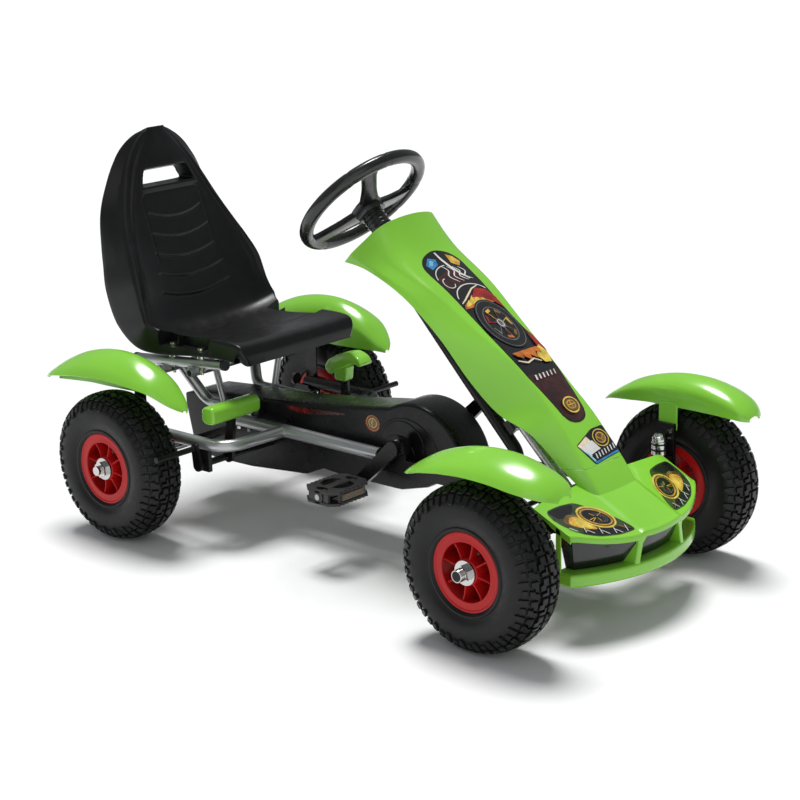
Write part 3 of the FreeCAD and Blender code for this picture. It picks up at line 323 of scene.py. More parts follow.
def grey(value):
    return (value, value, value, 1.0)


def finish(name, colour, roughness, metallic=0.0, coat=0.0, coat_roughness=0.05, specular=0.5,
           tint=0.12, tint_scale=14.0, uneven=0.05, grain_scale=900.0, grain=0.1, grain_depth=0.1,
           wear=0.0):
    """Colour that varies slightly, uneven roughness, fine grain, and lighter edges where wear is given."""
    material, tree, shader = node_material(name, roughness, metallic, coat, coat_roughness, specular)
    dark = tuple(c * (1 - tint) for c in colour) + (1.0,)
    light = tuple(min(c * (1 + tint), 1.0) for c in colour) + (1.0,)
    broad = noise_node(tree, tint_scale)
    hue = ramp_node(tree, broad.outputs["Fac"], dark, light)
    colour_out = hue.outputs["Color"]
    if wear:
        shape = tree.nodes.new("ShaderNodeNewGeometry")
        edge = ramp_node(tree, shape.outputs["Pointiness"], grey(0.0), grey(wear), 0.52, 0.62)
        mix = tree.nodes.new("ShaderNodeMixRGB")
        mix.blend_type = "ADD"
        mix.inputs["Fac"].default_value = 1.0
        tree.links.new(colour_out, mix.inputs["Color1"])
        tree.links.new(edge.outputs["Color"], mix.inputs["Color2"])
        colour_out = mix.outputs["Color"]
    tree.links.new(colour_out, shader.inputs["Base Color"])
    smudge = noise_node(tree, tint_scale * 4, 5.0)
    rough = ramp_node(tree, smudge.outputs["Fac"], grey(max(roughness - uneven, 0.02)),
                      grey(roughness + uneven))
    tree.links.new(rough.outputs["Color"], shader.inputs["Roughness"])
    fine = noise_node(tree, grain_scale, 2.0)
    bump = tree.nodes.new("ShaderNodeBump")
    bump.inputs["Strength"].default_value = grain
    bump.inputs["Distance"].default_value = grain_depth * MM
    tree.links.new(fine.outputs["Fac"], bump.inputs["Height"])
    tree.links.new(bump.outputs["Normal"], shader.inputs["Normal"])
    return material


GREEN = finish("green_plastic", (0.235, 0.60, 0.045), 0.24, coat=0.35, tint=0.05, tint_scale=5.0,
               uneven=0.03, grain_scale=300.0, grain=0.03)
SEAT_BLACK = finish("seat_plastic", (0.0055, 0.0055, 0.006), 0.34, specular=0.3, tint=0.15, uneven=0.04,
                    grain_scale=1400.0, grain=0.15, grain_depth=0.1, wear=0.004)
CASE_BLACK = finish("case_plastic", (0.004, 0.004, 0.0045), 0.3, specular=0.3, tint=0.15, uneven=0.04,
                    grain_scale=1600.0, grain=0.15, grain_depth=0.1, wear=0.003)
WHEEL_BLACK = finish("steering_plastic", (0.007, 0.007, 0.007), 0.25, coat=0.3, coat_roughness=0.15,
                     tint=0.15, uneven=0.05, grain_scale=1200.0, grain=0.1)
PEDAL_BLACK = finish("pedal_plastic", (0.012, 0.0115, 0.0105), 0.45, tint=0.25, uneven=0.08,
                     grain_scale=1200.0, grain=0.3, wear=0.03)
RUBBER = finish("tyre_rubber", (0.0045, 0.0045, 0.0045), 0.42, specular=0.3, tint=0.3, tint_scale=40.0,
                uneven=0.06, grain_scale=1500.0, grain=0.25, grain_depth=0.15, wear=0.004)
RUBBER_CAP = finish("rubber_cap", (0.012, 0.012, 0.012), 0.55, tint=0.2, grain_scale=1500.0, grain=0.25)
RED = finish("red_plastic", (0.50, 0.008, 0.009), 0.32, specular=0.3, tint=0.06, uneven=0.03,
             grain_scale=700.0, grain=0.05)
SILVER = finish("silver_paint", (0.46, 0.47, 0.48), 0.3, metallic=0.85, tint=0.03, tint_scale=12.0,
                uneven=0.02, grain_scale=600.0, grain=0.01)
BLACK_PAINT = finish("black_paint", (0.004, 0.004, 0.004), 0.3, specular=0.3, tint=0.2, uneven=0.04,
                     grain_scale=1200.0, grain=0.06, wear=0.003)
CHROME = finish("bright_zinc", (0.60, 0.60, 0.59), 0.16, metallic=1.0, tint=0.06, tint_scale=80.0,
                uneven=0.06, grain_scale=1800.0, grain=0.08)
STEEL = finish("machined_steel", (0.42, 0.42, 0.42), 0.32, metallic=1.0, tint=0.12, tint_scale=90.0,
               uneven=0.1, grain_scale=2600.0, grain=0.2)
NYLON = finish("nylon", (0.75, 0.74, 0.68), 0.4, tint=0.06, grain_scale=1500.0, grain=0.15)
GRILLE = finish("grille_plastic", (0.006, 0.007, 0.007), 0.22, coat=0.4, tint=0.15, uneven=0.04,
                grain_scale=900.0, grain=0.05)
AMBER = finish("amber_reflector", (0.10, 0.055, 0.015), 0.2, coat=0.4, tint=0.2, tint_scale=200.0,
               grain_scale=500.0, grain=0.35, grain_depth=0.4)

CAD_FINISH = {
    SILVER: ("main_tubes", "seat_supports", "seat_cross_tubes", "seat_rails"),
    BLACK_PAINT: ("column_support", "side_bars", "front_axle_beam", "axle_bearing_blocks", "brake_lever",
                  "lever_brackets", "crank", "knuckle_right", "knuckle_left", "tie_rod_right",
                  "tie_rod_left", "shift_lever", "fender_stays", "bumper_stays"),
    CHROME: ("front_hub_nut_right", "front_hub_nut_left", "rear_hub_nuts", "frame_bolts", "seat_bolts",
             "rear_axle"),
    STEEL: ("pedal_spindles", "steering_shaft", "chain", "chainring", "rear_sprocket", "ball_bearings",
            "front_bearings_right", "front_bearings_left"),
    NYLON: ("steering_bushes",),
    RUBBER_CAP: ("tube_end_caps",)}


def finish_cad_nodes():
    """Materials for the nodes that are shown as the CAD made them, with slightly eased edges."""
    for material, nodes in CAD_FINISH.items():
        for node in nodes:
            obj = NODES[node]
            for face_slot in obj.material_slots:
                face_slot.material = material
            if not obj.material_slots:
                obj.data.materials.append(material)
            bevel(obj, 0.5, 2, 40.0)


# ---------------------------------------------------------------- wheels
TYRE_HALF = 42.0
CARCASS_RADIUS = 125.6
WIDEST_RADIUS = 92.0
BEAD_RADIUS = 58.4
TREAD_PITCHES = 26


def carcass(angle):
    """(x, radius) on the tyre's outside: angle 0 is the crown, +-90 degrees the widest point."""
    turn = math.radians(angle)
    squareness = 0.80
    x = TYRE_HALF * math.copysign(abs(math.sin(turn)) ** squareness, angle) * 0.985
    r = WIDEST_RADIUS + (CARCASS_RADIUS - WIDEST_RADIUS) * abs(math.cos(turn)) ** squareness
    return x, r


def tyre_profile():
    """Closed outline: sidewall with its ridge by the bead, crown, other sidewall, inside."""
    half = []
    for r, x in ((BEAD_RADIUS, 26.0), (BEAD_RADIUS, 33.0), (62.0, 34.0), (64.0, 36.6), (66.2, 37.6),
                 (68.2, 37.4), (69.4, 36.2), (71.5, 36.6), (76.0, 38.8), (82.0, 40.6), (88.0, 41.3)):
        half.append((x, r))
    crown = [carcass(90 - 5 * i) for i in range(37)]
    inside = [(-26.0, 66.0), (-35.0, 90.0), (-28.0, 114.0), (0.0, 119.0), (28.0, 114.0), (35.0, 90.0),
              (26.0, 66.0)]
    return half + crown + [(-x, r) for x, r in reversed(half)] + inside


def tread_block(points, faces, side, outline, turn, height, x, y):
    """One rubber block: outline of (degrees across, degrees round), standing on the carcass."""
    middle_a = sum(a for a, b in outline) / len(outline)
    middle_b = sum(b for a, b in outline) / len(outline)
    rings = ((-1.0, 1.04), (height - 0.9, 0.98), (height, 0.86))
    first = len(points)
    for lift, size in rings:
        for a, b in outline:
            across = side * (middle_a + (a - middle_a) * size)
            px, pr = carcass(across)
            qx, qr = carcass(across + 1.0)
            along = Vector((qx - px, qr - pr)).normalized()
            normal = Vector((-along.y, along.x))
            if normal.dot(Vector((px, pr - WIDEST_RADIUS))) < 0:
                normal = -normal
            px, pr = px + normal.x * lift, pr + normal.y * lift
            around = math.radians(turn + middle_b + (b - middle_b) * size)
            points.append((x + px, y + pr * math.cos(around), WHEEL_RADIUS + pr * math.sin(around)))
    count = len(outline)
    faces += grid_faces(len(rings), count, wrap_columns=True, first=first)
    faces.append(tuple(range(first, first + count)))
    faces.append(tuple(range(first + 3 * count - 1, first + 2 * count - 1, -1)))


# Tread blocks within one pitch: how far each stands out, and its outline, across in degrees of the
# tyre's section and round in shares of a pitch.
TREAD_BLOCKS = [
    (4.4, [(1.5, 0.02), (14, 0.02), (14, 0.30), (20, 0.34), (20, 0.62), (8, 0.62), (8, 0.40), (1.5, 0.36)]),
    (4.4, [(1.5, 0.50), (5.5, 0.54), (5.5, 0.74), (16, 0.76), (16, 0.92), (1.5, 0.92)]),
    (4.3, [(24, 0.06), (42, 0.06), (42, 0.34), (34, 0.40), (34, 0.58), (24, 0.52)]),
    (4.3, [(22, 0.68), (30, 0.68), (38, 0.52), (46, 0.52), (46, 0.84), (32, 0.96), (22, 0.92)]),
    (3.4, [(47, 0.00), (68, 0.02), (74, 0.08), (74, 0.30), (66, 0.36), (47, 0.36)]),
    (2.6, [(50, 0.50), (62, 0.50), (66, 0.56), (66, 0.80), (60, 0.86), (50, 0.86)])]


def wheel_place(node):
    """x and y of a wheel's middle in millimetres."""
    middle = middle_of(node)
    return middle.x / MM, (middle.y - MID_Y) / MM


def build_tyre(node, body):
    x, y = wheel_place(node)
    rubber = turned(node + "_rubber", tyre_profile(), x, y, WHEEL_RADIUS, RUBBER, 120)
    shade(rubber, 30)
    points, faces = [], []
    pitch = 360.0 / TREAD_PITCHES
    for i in range(TREAD_PITCHES):
        for height, outline in TREAD_BLOCKS:
            stretched = [(a, b * pitch) for a, b in outline]
            tread_block(points, faces, 1, stretched, i * pitch, height, x, y)
            tread_block(points, faces, -1, stretched, (i + 0.5) * pitch, height, x, y)
    tread = mesh_object(node + "_tread", points, faces, RUBBER)
    shade(tread, 30)
    settle(rubber, body, [node])
    settle(tread, body, [node])


RIM_OUTSIDE = 61.4
RIM_INSIDE = 45.5
RIM_OUTLINE = [
    (-34.2, 47.5), (-34.6, 49.0), (-34.6, 59.8), (-34.0, RIM_OUTSIDE), (-33.5, RIM_OUTSIDE), (-33.3, 57.6),
    (33.3, 57.6), (33.5, RIM_OUTSIDE), (34.0, RIM_OUTSIDE), (34.6, 59.8), (34.6, 58.6), (33.4, 57.2),
    (33.0, 49.2), (33.6, 47.6), (33.4, 46.4), (32.0, RIM_INSIDE), (24.0, 48.0), (0.0, 52.0), (-24.0, 49.0),
    (-32.0, RIM_INSIDE)]
HUB_OUTLINE = [(-33.0, 14.2), (33.0, 14.2), (33.0, 19.0), (31.5, 20.5), (26.0, 21.5), (-20.0, 22.5),
               (-33.0, 20.5)]
SPOKES = 8
# Stations of a spoke: radius, half thickness, x of the outer face and x of the inner face.
SPOKE_STATIONS = [(19.0, 2.6, 30.5, -24.0), (24.0, 1.9, 28.5, -23.0), (38.0, 1.7, 27.5, -22.0),
                  (46.0, 2.0, 29.0, -22.0), (50.5, 3.2, 31.0, -21.0)]
FIRST_SPOKE = 12.0        # degrees
VALVE_ANGLE = 124.0
VALVE_RADIUS = 41.0


def build_spoke(node, side, x, y, turn):
    """Thin tapered spoke with a crowned outer edge, turned about the wheel's axis."""
    c, s = math.cos(turn), math.sin(turn)
    sections = []
    for r, half, outer, inner in SPOKE_STATIONS:
        section = [(outer, -half * 0.7), (outer + 0.8, 0.0), (outer, half * 0.7), (outer - 3, half),
                   (inner, half), (inner, -half), (outer - 3, -half)]
        sections.append([(x + side * px, y + r * c - w * s, WHEEL_RADIUS + r * s + w * c)
                         for px, w in section])
    return loft(node + "_spoke", sections, RED)


def build_rim(node, body, side):
    """Moulded rim: dished outer rings, barrel, hub with a collar, spokes, valve."""
    x, y = wheel_place(node)
    pieces = []
    for name, profile, count in (("_barrel", RIM_OUTLINE, 112), ("_hub", HUB_OUTLINE, 64)):
        pieces.append(turned(node + name, [(side * px, r) for px, r in profile], x, y, WHEEL_RADIUS, RED,
                             count))
    for i in range(SPOKES):
        pieces.append(build_spoke(node, side, x, y, math.radians(360 / SPOKES * i + FIRST_SPOKE)))
    turn = math.radians(VALVE_ANGLE)
    valve_y, valve_z = y + VALVE_RADIUS * math.cos(turn), WHEEL_RADIUS + VALVE_RADIUS * math.sin(turn)
    valve = tube(node + "_valve", [(x + side * a, valve_y, valve_z) for a in (6, 22, 23, 31, 31.5)],
                 [3.6, 3.2, 2.4, 2.4, 1.8], RUBBER_CAP, 14)
    whole = join(pieces, node + "_moulding")
    shade(whole, 32)
    bevel(whole, 0.35, 2, 40)
    settle(whole, body, [node])
    shade(valve, 40)
    settle(valve, body)


def upright_turned(name, profile, x, y, material, count=40):
    """Solid of revolution about a Z axis: (radius, height) points from the bottom to the top."""
    sections = [[(x + r * c, y + r * s, z) for c, s in circle(1.0, count)] for r, z in profile]
    return loft(name, sections, material)


KINGPIN_X = 190.0
KINGPIN_FOOT = [(8.0, 118.7), (10.0, 119.5), (10.0, 129.0), (7.9, 129.6), (7.9, 182.2), (12.4, 182.6),
                (12.9, 183.4), (12.9, 185.0)]
KINGPIN_RINGS = [(185.6, 187.8), (195.2, 197.4), (205.0, 206.8)]      # lower and upper heights
KINGPIN_NUT = [(12.3, 209.5), (11.0, 210.6), (11.0, 216.4), (10.0, 218.0), (8.6, 218.6), (8.2, 221.0),
               (6.0, 223.0), (0.6, 223.9)]
AXLE_END_X = 319.9
NUT_FACE_X = 309.0


def build_kingpins():
    """Bright kingpin with dark rings between its washers, under a domed nut."""
    grooves = []
    for low, high in KINGPIN_RINGS:
        grooves += [(12.3, low - 0.6), (10.6, low), (10.6, high), (12.3, high + 0.6)]
    profile = KINGPIN_FOOT + grooves + KINGPIN_NUT
    for name, side in (("right", -1), ("left", 1)):
        body = "knuckle_" + name
        x, y = side * KINGPIN_X, -AXLE_Y
        pin = upright_turned("kingpin_turned_" + name, profile, x, y, CHROME)
        shade(pin, 32)
        settle(pin, body, ["kingpin_" + name])
        rings = []
        for low, high in KINGPIN_RINGS:
            ring = [(10.4, low), (11.9, low + 0.3), (11.9, high - 0.3), (10.4, high)]
            rings.append(upright_turned("ring", ring, x, y, RUBBER_CAP))
        dark = join(rings, "kingpin_rings_" + name)
        shade(dark, 32)
        settle(dark, body)


def build_axle_ends():
    """Bright threaded sleeves round the ends of the front stub axles."""
    ridges = 4
    profile = [(NUT_FACE_X, 8.1), (NUT_FACE_X, 10.2)]
    for i in range(ridges):
        base = lerp(NUT_FACE_X + 1.0, AXLE_END_X - 0.8, i / ridges)
        profile += [(base, 9.9), (base + 1.2, 9.1), (base + 2.0, 9.9)]
    profile += [(AXLE_END_X, 9.4), (AXLE_END_X, 8.1)]
    for name, side in (("right", -1), ("left", 1)):
        sleeve = turned("axle_end_" + name, [(side * px, r) for px, r in profile], 0.0, -AXLE_Y,
                        WHEEL_RADIUS, CHROME, 48)
        shade(sleeve, 35)
        settle(sleeve, "knuckle_" + name)


def build_wheels():
    for end in ("front", "rear"):
        for name, side in (("right", -1), ("left", 1)):
            body = "front_wheel_" + name if end == "front" else "rear_wheels"
            build_tyre(f"{end}_tyre_{name}", body)
            build_rim(f"{end}_rim_{name}", body, side)


# ---------------------------------------------------------------- thin printed stickers
def patch(outline, spacing=9.0):
    """Triangles that fill a 2-D outline, with inner points so that the sheet can follow a curve."""
    xs, ys = [p[0] for p in outline], [p[1] for p in outline]
    points = [Vector(p) for p in outline]
    edges = [(i, (i + 1) % len(outline)) for i in range(len(outline))]
    x = min(xs) + 0.5 * spacing
    while x < max(xs):
        y = min(ys) + 0.5 * spacing
        while y < max(ys):
            points.append(Vector((x, y)))
            y += spacing
        x += spacing
    found = geometry.delaunay_2d_cdt(points, edges, [], 1, 1e-5)
    return [tuple(p) for p in found[0]], found[2]


def sticker(name, body, surface_at, layers, spacing=9.0):
    """Printed sheet: layers of (material, outline), each laid just above the one before.

    surface_at(u, v, lift) gives the point in millimetres over the carrying surface."""
    points, faces, inks, materials = [], [], [], []
    for level, (material, outline) in enumerate(layers):
        flat, triangles = patch(outline, spacing)
        if material not in materials:
            materials.append(material)
        first = len(points)
        points += [surface_at(u, v, 0.35 + 0.07 * level) for u, v in flat]
        for triangle in triangles:
            faces.append(tuple(first + i for i in triangle))
            inks.append(materials.index(material))
    mesh = bpy.data.meshes.new(name)
    mesh.from_pydata([place(*p) for p in points], [], faces)
    for material in materials:
        mesh.materials.append(material)
    mesh.polygons.foreach_set("material_index", inks)
    mesh.polygons.foreach_set("use_smooth", [True] * len(faces))
    settle(link(name, mesh), body)


def strip(points, width, taper=1.0):
    """Outline of a ribbon along 2-D points, its ends narrowed by taper."""
    left, right = [], []
    last = len(points) - 1
    for i, point in enumerate(points):
        before, after = Vector(points[max(i - 1, 0)]), Vector(points[min(i + 1, last)])
        along = (after - before).normalized()
        across = Vector((-along.y, along.x))
        half = 0.5 * width * lerp(1.0, math.sin(math.pi * (i + 0.5) / (last + 1)), 1.0 - taper)
        left.append(tuple(Vector(point) + across * half))
        right.append(tuple(Vector(point) - across * half))
    return left + right[::-1]


def arc(x, y, rx, ry, start, end, count=20, tilt=0.0):
    """Points on part of an ellipse, angles in degrees."""
    result = []
    for i in range(count):
        a = math.radians(lerp(start, end, i / (count - 1)))
        px, py = rx * math.cos(a), ry * math.sin(a)
        t = math.radians(tilt)
        result.append((x + px * math.cos(t) - py * math.sin(t), y + px * math.sin(t) + py * math.cos(t)))
    return result


def ellipse(x, y, rx, ry, tilt=0.0, count=40):
    return arc(x, y, rx, ry, 0, 360 - 360 / count, count, tilt)


def ring_band(x, y, rx, ry, width, tilt=0.0, start=0.0, sweep=358.0):
    """Open ring, as one outline with a hairline gap."""
    outer = arc(x, y, rx, ry, start, start + sweep, 44, tilt)
    inner = arc(x, y, rx - width, ry - width, start, start + sweep, 44, tilt)
    return outer + inner[::-1]


def flame(x, y, length, width, lean, tongues=3):
    """Flame outline with pointed tongues, rooted at (x, y) and licking towards +v."""
    points = [(x - width / 2, y)]
    for i in range(tongues):
        base = x - width / 2 + width * (i + 0.5) / tongues
        reach = length * (1.0 - 0.28 * abs(i - (tongues - 1) / 2))
        points.append((base + lean * 0.5 - width * 0.12, y + reach * 0.55))
        points.append((base + lean, y + reach))
        points.append((base + lean * 0.4 + width * 0.14, y + reach * 0.42))
    points.append((x + width / 2, y))
    return points


def ink(name, colour, tint, tint_scale=14.0, roughness=0.25):
    """Glossy printing ink whose colour is a little uneven."""
    return finish("ink_" + name, colour, roughness, coat=0.4, tint=tint, tint_scale=tint_scale, grain=0.02)


INK_BLACK = ink("black", (0.008, 0.008, 0.009), 0.2, roughness=0.22)
INK_WHITE = ink("white", (0.72, 0.72, 0.70), 0.05)
INK_CREAM = ink("cream", (0.80, 0.68, 0.50), 0.15, 40.0)
INK_BLUE = ink("blue", (0.03, 0.22, 0.50), 0.3, 60.0)
INK_SKY = ink("sky", (0.22, 0.50, 0.62), 0.25, 60.0)
INK_GOLD = ink("gold", (0.62, 0.36, 0.05), 0.3, 90.0)
INK_YELLOW = ink("yellow", (0.66, 0.50, 0.08), 0.25, 70.0)
INK_ORANGE = ink("orange", (0.52, 0.15, 0.02), 0.3, 70.0)
INK_RED = ink("red", (0.28, 0.015, 0.010), 0.35, 50.0)
INK_DARK_RED = ink("dark_red", (0.16, 0.012, 0.010), 0.45, 40.0)
INK_MAROON = ink("maroon", (0.045, 0.010, 0.010), 0.5, 30.0)
INK_GREY = ink("grey", (0.12, 0.12, 0.12), 0.3, 60.0)
INK_OLIVE = ink("olive", (0.035, 0.055, 0.02), 0.4, 40.0, 0.22)
INK_UMBER = ink("umber", (0.16, 0.09, 0.03), 0.5, 60.0)


# ---------------------------------------------------------------- nose cover
# Stations from the steering wheel down to the hood: half width, y and z of the crease beside the top
# face, the same for the side wall's lower edge, and how far the top face bulges.
NOSE_STATIONS = [
    (73, -38, 563, 90, 20, 502, 17), (74, -85, 513, 95, -35, 495, 8),
    (65, -160, 465, 96, -110, 463, 3), (54, -225, 418, 95, -180, 410, 1.5),
    (44, -285, 376, 90, -240, 345, 1.2), (40, -336, 333, 84, -292, 300, 1),
    (43, -380, 290, 78, -350, 276, 1), (47, -434, 226, 66, -402, 226, 1),
    (47, -461, 190, 55, -440, 191, 1)]
NOSE_WALL = 2.6
NOSE_ROWS = 90
NOSE_SEAM = 520.0         # distance of the seam across the top face, from the upper end


def nose_length():
    return sum(math.dist(a[1:3], b[1:3]) for a, b in zip(NOSE_STATIONS, NOSE_STATIONS[1:]))


def nose_station(distance):
    """Station at a distance down the top face from its upper end."""
    walked = 0.0
    for k, (a, b) in enumerate(zip(NOSE_STATIONS, NOSE_STATIONS[1:])):
        span = math.dist(a[1:3], b[1:3])
        if distance <= walked + span or k == len(NOSE_STATIONS) - 2:
            break
        walked += span
    u = (distance - walked) / span
    last = len(NOSE_STATIONS) - 1
    return blend_four(NOSE_STATIONS[max(k - 1, 0)], a, b, NOSE_STATIONS[min(k + 2, last)], u)


def nose_face(distance, x):
    """Point on the slightly bulging top face, at x from its middle line."""
    half, y, z, _, low_y, low_z, bulge = nose_station(distance)
    up = Vector((0, y - low_y, z - low_z)).normalized()
    return Vector((x, y, z)) + up * (bulge * (1 - (x / half) ** 2))


def nose_half_section(distance):
    """Points in the right half from the middle of the top face round the crease to the lower edge."""
    half, y, z, low_half, low_y, low_z, _ = nose_station(distance)
    crease, low = Vector((half, y, z)), Vector((low_half, low_y, low_z))
    turn = lerp(26.0, 5.0, step(0, 190, distance))
    wall = low - crease
    fold = 3.5 * (1 - step(60, 330, distance))
    points = [nose_face(distance, (half - turn) * i / 10) for i in range(10)]
    start, end = nose_face(distance, half - turn), crease + wall * min(turn / wall.length, 0.45)
    for i in range(9):
        t = i / 8
        points.append(start * (1 - t) ** 2 + crease * 2 * t * (1 - t) + end * t ** 2)
    for i in range(1, 13):
        t = i / 12
        point = end.lerp(low, t)
        bump = fold * max(0.0, 1 - abs(t - 0.62) / (0.62 if t < 0.62 else 0.38))
        points.append(point + Vector((bump + 1.2 * math.sin(math.pi * t), 0, 0)))
    return points


def nose_section(distance):
    half = nose_half_section(distance)
    right = [(-p.x, p.y, p.z) for p in half[:0:-1]]
    return right + [tuple(p) for p in half]


def nose_top_at(u, v, lift):
    """Point over the top face: u across, v down from the upper end."""
    point = nose_face(v, u)
    along = nose_face(v + 2, u) - nose_face(v - 2, u)
    across = nose_face(v, u + 2) - nose_face(v, u - 2)
    normal = along.cross(across).normalized()
    if normal.z < 0:
        normal = -normal
    return tuple(point + normal * lift)


def build_nose():
    """Cover in two lengths, with a hairline seam between them across the top face."""
    upper = [nose_section(NOSE_SEAM * i / NOSE_ROWS) for i in range(NOSE_ROWS + 1)]
    lower = [nose_section(lerp(NOSE_SEAM + 0.5, nose_length() - 2.5, i / 16)) for i in range(17)]
    for name, rows in (("nose_cover_shell", upper), ("nose_cover_foot", lower)):
        shell = loft(name, rows, GREEN, closed=False)
        thicken(shell, NOSE_WALL, away_from_middle=True)
        shade(shell, 40)
        bevel(shell, 0.6, 2, 50)
        settle(shell, "frame", ["nose_cover"])


def wheel_print(x, y, rx, ry, rim_ink, spoke_inks):
    """Drawing of a wheel: dark tyre, rings, spokes and a hub."""
    layers = [(INK_BLACK, ellipse(x, y, rx, ry)), (INK_GREY, ring_band(x, y, rx * 0.95, ry * 0.95, 1.3)),
              (rim_ink, ring_band(x, y, rx * 0.70, ry * 0.70, 2.0))]
    for i in range(7):
        a = 2 * math.pi * i / 7
        corners = [(x + rx * radius * math.cos(a + spread), y + ry * radius * math.sin(a + spread))
                   for radius, spread in ((0.16, 0.20), (0.62, 0.26), (0.62, -0.26), (0.16, -0.20))]
        layers.append((spoke_inks[i % len(spoke_inks)], corners))
        root_x, root_y = corners[1]
        inner = [(cx + (x - cx) * 0.28 + 0.1 * (root_x - x), cy + (y - cy) * 0.28 + 0.1 * (root_y - y))
                 for cx, cy in corners]
        layers.append((INK_BLACK, inner))
    layers.append((INK_GREY, ellipse(x, y, rx * 0.2, ry * 0.2)))
    layers.append((INK_WHITE, ring_band(x, y, rx * 0.14, ry * 0.14, 1.2)))
    return layers


def nose_graphics():
    """Tapered dark panel with patches, swooshes, flames and a wheel: a generic racing print."""
    side = [(43, 150), (41, 230), (41, 300), (38, 350), (31, 400), (27, 430)]
    panel = arc(0, 104, 45, 38, 180, 360, 22) + side + arc(0, 428, 26, 20, 10, 170, 12)
    panel += [(-x, y) for x, y in side[::-1]]
    foot = [(-36, 345), (36, 345), (29, 400), (25, 428)] + arc(0, 427, 24, 18, 10, 170, 9)
    layers = [
        (INK_BLACK, panel),
        (INK_MAROON, foot + [(-25, 428), (-29, 400)]),
        (INK_MAROON, [(-40, 122), (0, 110), (24, 118), (8, 150), (-39, 150)]),
        (INK_BLUE, [(-36, 92), (-22, 78), (-8, 84), (-12, 96), (-30, 103)]),
        (INK_SKY, [(-31, 94), (-22, 84), (-15, 87), (-24, 96)]),
        (INK_GOLD, [(20, 78), (33, 86), (40, 100), (30, 108), (18, 98)]),
        (INK_YELLOW, [(24, 86), (32, 91), (34, 99), (26, 97)]),
        (INK_WHITE, strip([(0, 70), (3, 86), (8, 104), (16, 124), (26, 138)], 5.0, 0.6)),
        (INK_WHITE, strip(arc(-4, 132, 36, 32, 190, 275, 16), 1.6))]
    for i in range(4):
        x = -10 + 11 * i
        wave = [(x, 100 + 3 * i), (x + 7, 112 + 3 * i), (x - 2, 124 + 2 * i), (x + 8, 140)]
        layers.append((INK_WHITE, strip([catmull(wave, t / 14) for t in range(15)], 2.4, 0.3)))
    layers += [
        (INK_WHITE, ring_band(-26, 138, 11, 12, 1.6, 0, 20, 250)),
        (INK_WHITE, strip(arc(2, 184, 40, 36, 198, 330, 20), 2.0)),
        (INK_ORANGE, flame(-4, 196, -34, 74, 14, 5)),
        (INK_YELLOW, flame(-12, 192, -22, 44, 10, 4)),
        (INK_RED, [(-8, 176), (14, 160), (34, 168), (40, 190), (40, 214), (30, 196), (10, 180)]),
        (INK_CREAM, strip([(-38, 184), (-26, 178), (-12, 170), (6, 160), (24, 156)], 3.0, 0.4))]
    layers += wheel_print(1, 240, 38, 55, INK_GREY, [INK_GOLD, INK_UMBER, INK_ORANGE, INK_GREY, INK_RED])
    layers += [
        (INK_RED, [(37, 262), (41, 280), (41, 312), (34, 330), (26, 318), (30, 296)]),
        (INK_YELLOW, [(22, 306), (34, 300), (39, 318), (32, 336), (18, 334), (12, 320)]),
        (INK_ORANGE, flame(-4, 302, 26, 58, 8, 4)),
        (INK_CREAM, strip([(-34, 318), (-18, 326), (0, 322), (12, 330)], 3.2, 0.4))]
    for i in range(6):
        layers.append((INK_WHITE, strip([(-24 + 9 * i, 350), (-27 + 9 * i, 359)], 3.4 - 0.3 * i)))
    layers += [
        (INK_YELLOW, ring_band(2, 418, 17, 15, 2.6)), (INK_UMBER, ellipse(2, 418, 13, 11)),
        (INK_GOLD, ring_band(2, 418, 9.5, 8, 1.4)), (INK_GOLD, strip([(-7, 418), (11, 418)], 1.6)),
        (INK_GOLD, strip([(2, 410), (2, 426)], 1.6))]
    return layers


def badge_graphics():
    """Small badge over the seam: cream and blue ground, gold ring, dark bar with plain ticks."""
    layers = [
        (INK_BLACK, rounded([(-38, 480), (12, 464), (42, 464), (46, 512), (-20, 518)], 4)),
        (INK_CREAM, [(-36, 481), (-8, 472), (2, 490), (-22, 500)]),
        (INK_WHITE, [(-30, 486), (0, 480), (10, 498), (-22, 503)]),
        (INK_SKY, [(-34, 486), (-24, 500), (-18, 516), (-12, 516), (-22, 498)]),
        (INK_BLUE, [(-20, 512), (44, 508), (44, 511), (-18, 516.5)]),
        (INK_BLACK, [(-18, 500), (44, 490), (45, 507), (-15, 513)]),
        (INK_BLACK, ellipse(22, 481, 19, 15)), (INK_YELLOW, ring_band(22, 481, 18, 14, 1.8)),
        (INK_UMBER, ellipse(22, 481, 12, 9.5)), (INK_GOLD, ring_band(22, 481, 11, 8.5, 1.4)),
        (INK_GOLD, strip([(14, 478), (22, 484), (30, 477)], 1.5))]
    for i in range(7):
        x = -10 + 8 * i
        layers.append((INK_WHITE, strip([(x, 509 - 0.9 * i), (x + 1.5, 500.5 - 0.9 * i)], 2.6)))
    return layers


# ---------------------------------------------------------------- hood and bumper
HOOD_SIDE = 166.0
HOOD_FRONT = -547.0
HOOD_CORNER = -490.0
HOOD_REAR = -424.0
HOOD_SLOPE = math.tan(math.radians(25.6))
HOOD_DATUM = (-543.0, 152.5)
HOOD_EDGE = 11.0          # height of its turned-down rim
HOOD_LIP_RADIUS = 5.0
HOOD_WALL = 3.4
SPINE_HALF = 44.0
SKIRT_END = -464.0
GRILLE_LINE = [(5.0, 150.0), (5.0, 139.0), (24.0, 103.0), (24.0, 97.0)]   # depth behind the front, height
BULGE = HOOD_CORNER - HOOD_FRONT
ARC_RADIUS = (HOOD_SIDE ** 2 + BULGE ** 2) / (2 * BULGE)


def front_y(x, inset=0.0):
    """The bumper's bowed front: y at x, or a line inset behind it."""
    radius = ARC_RADIUS - inset
    return HOOD_FRONT + ARC_RADIUS - math.sqrt(max(radius ** 2 - x ** 2, 0.0))


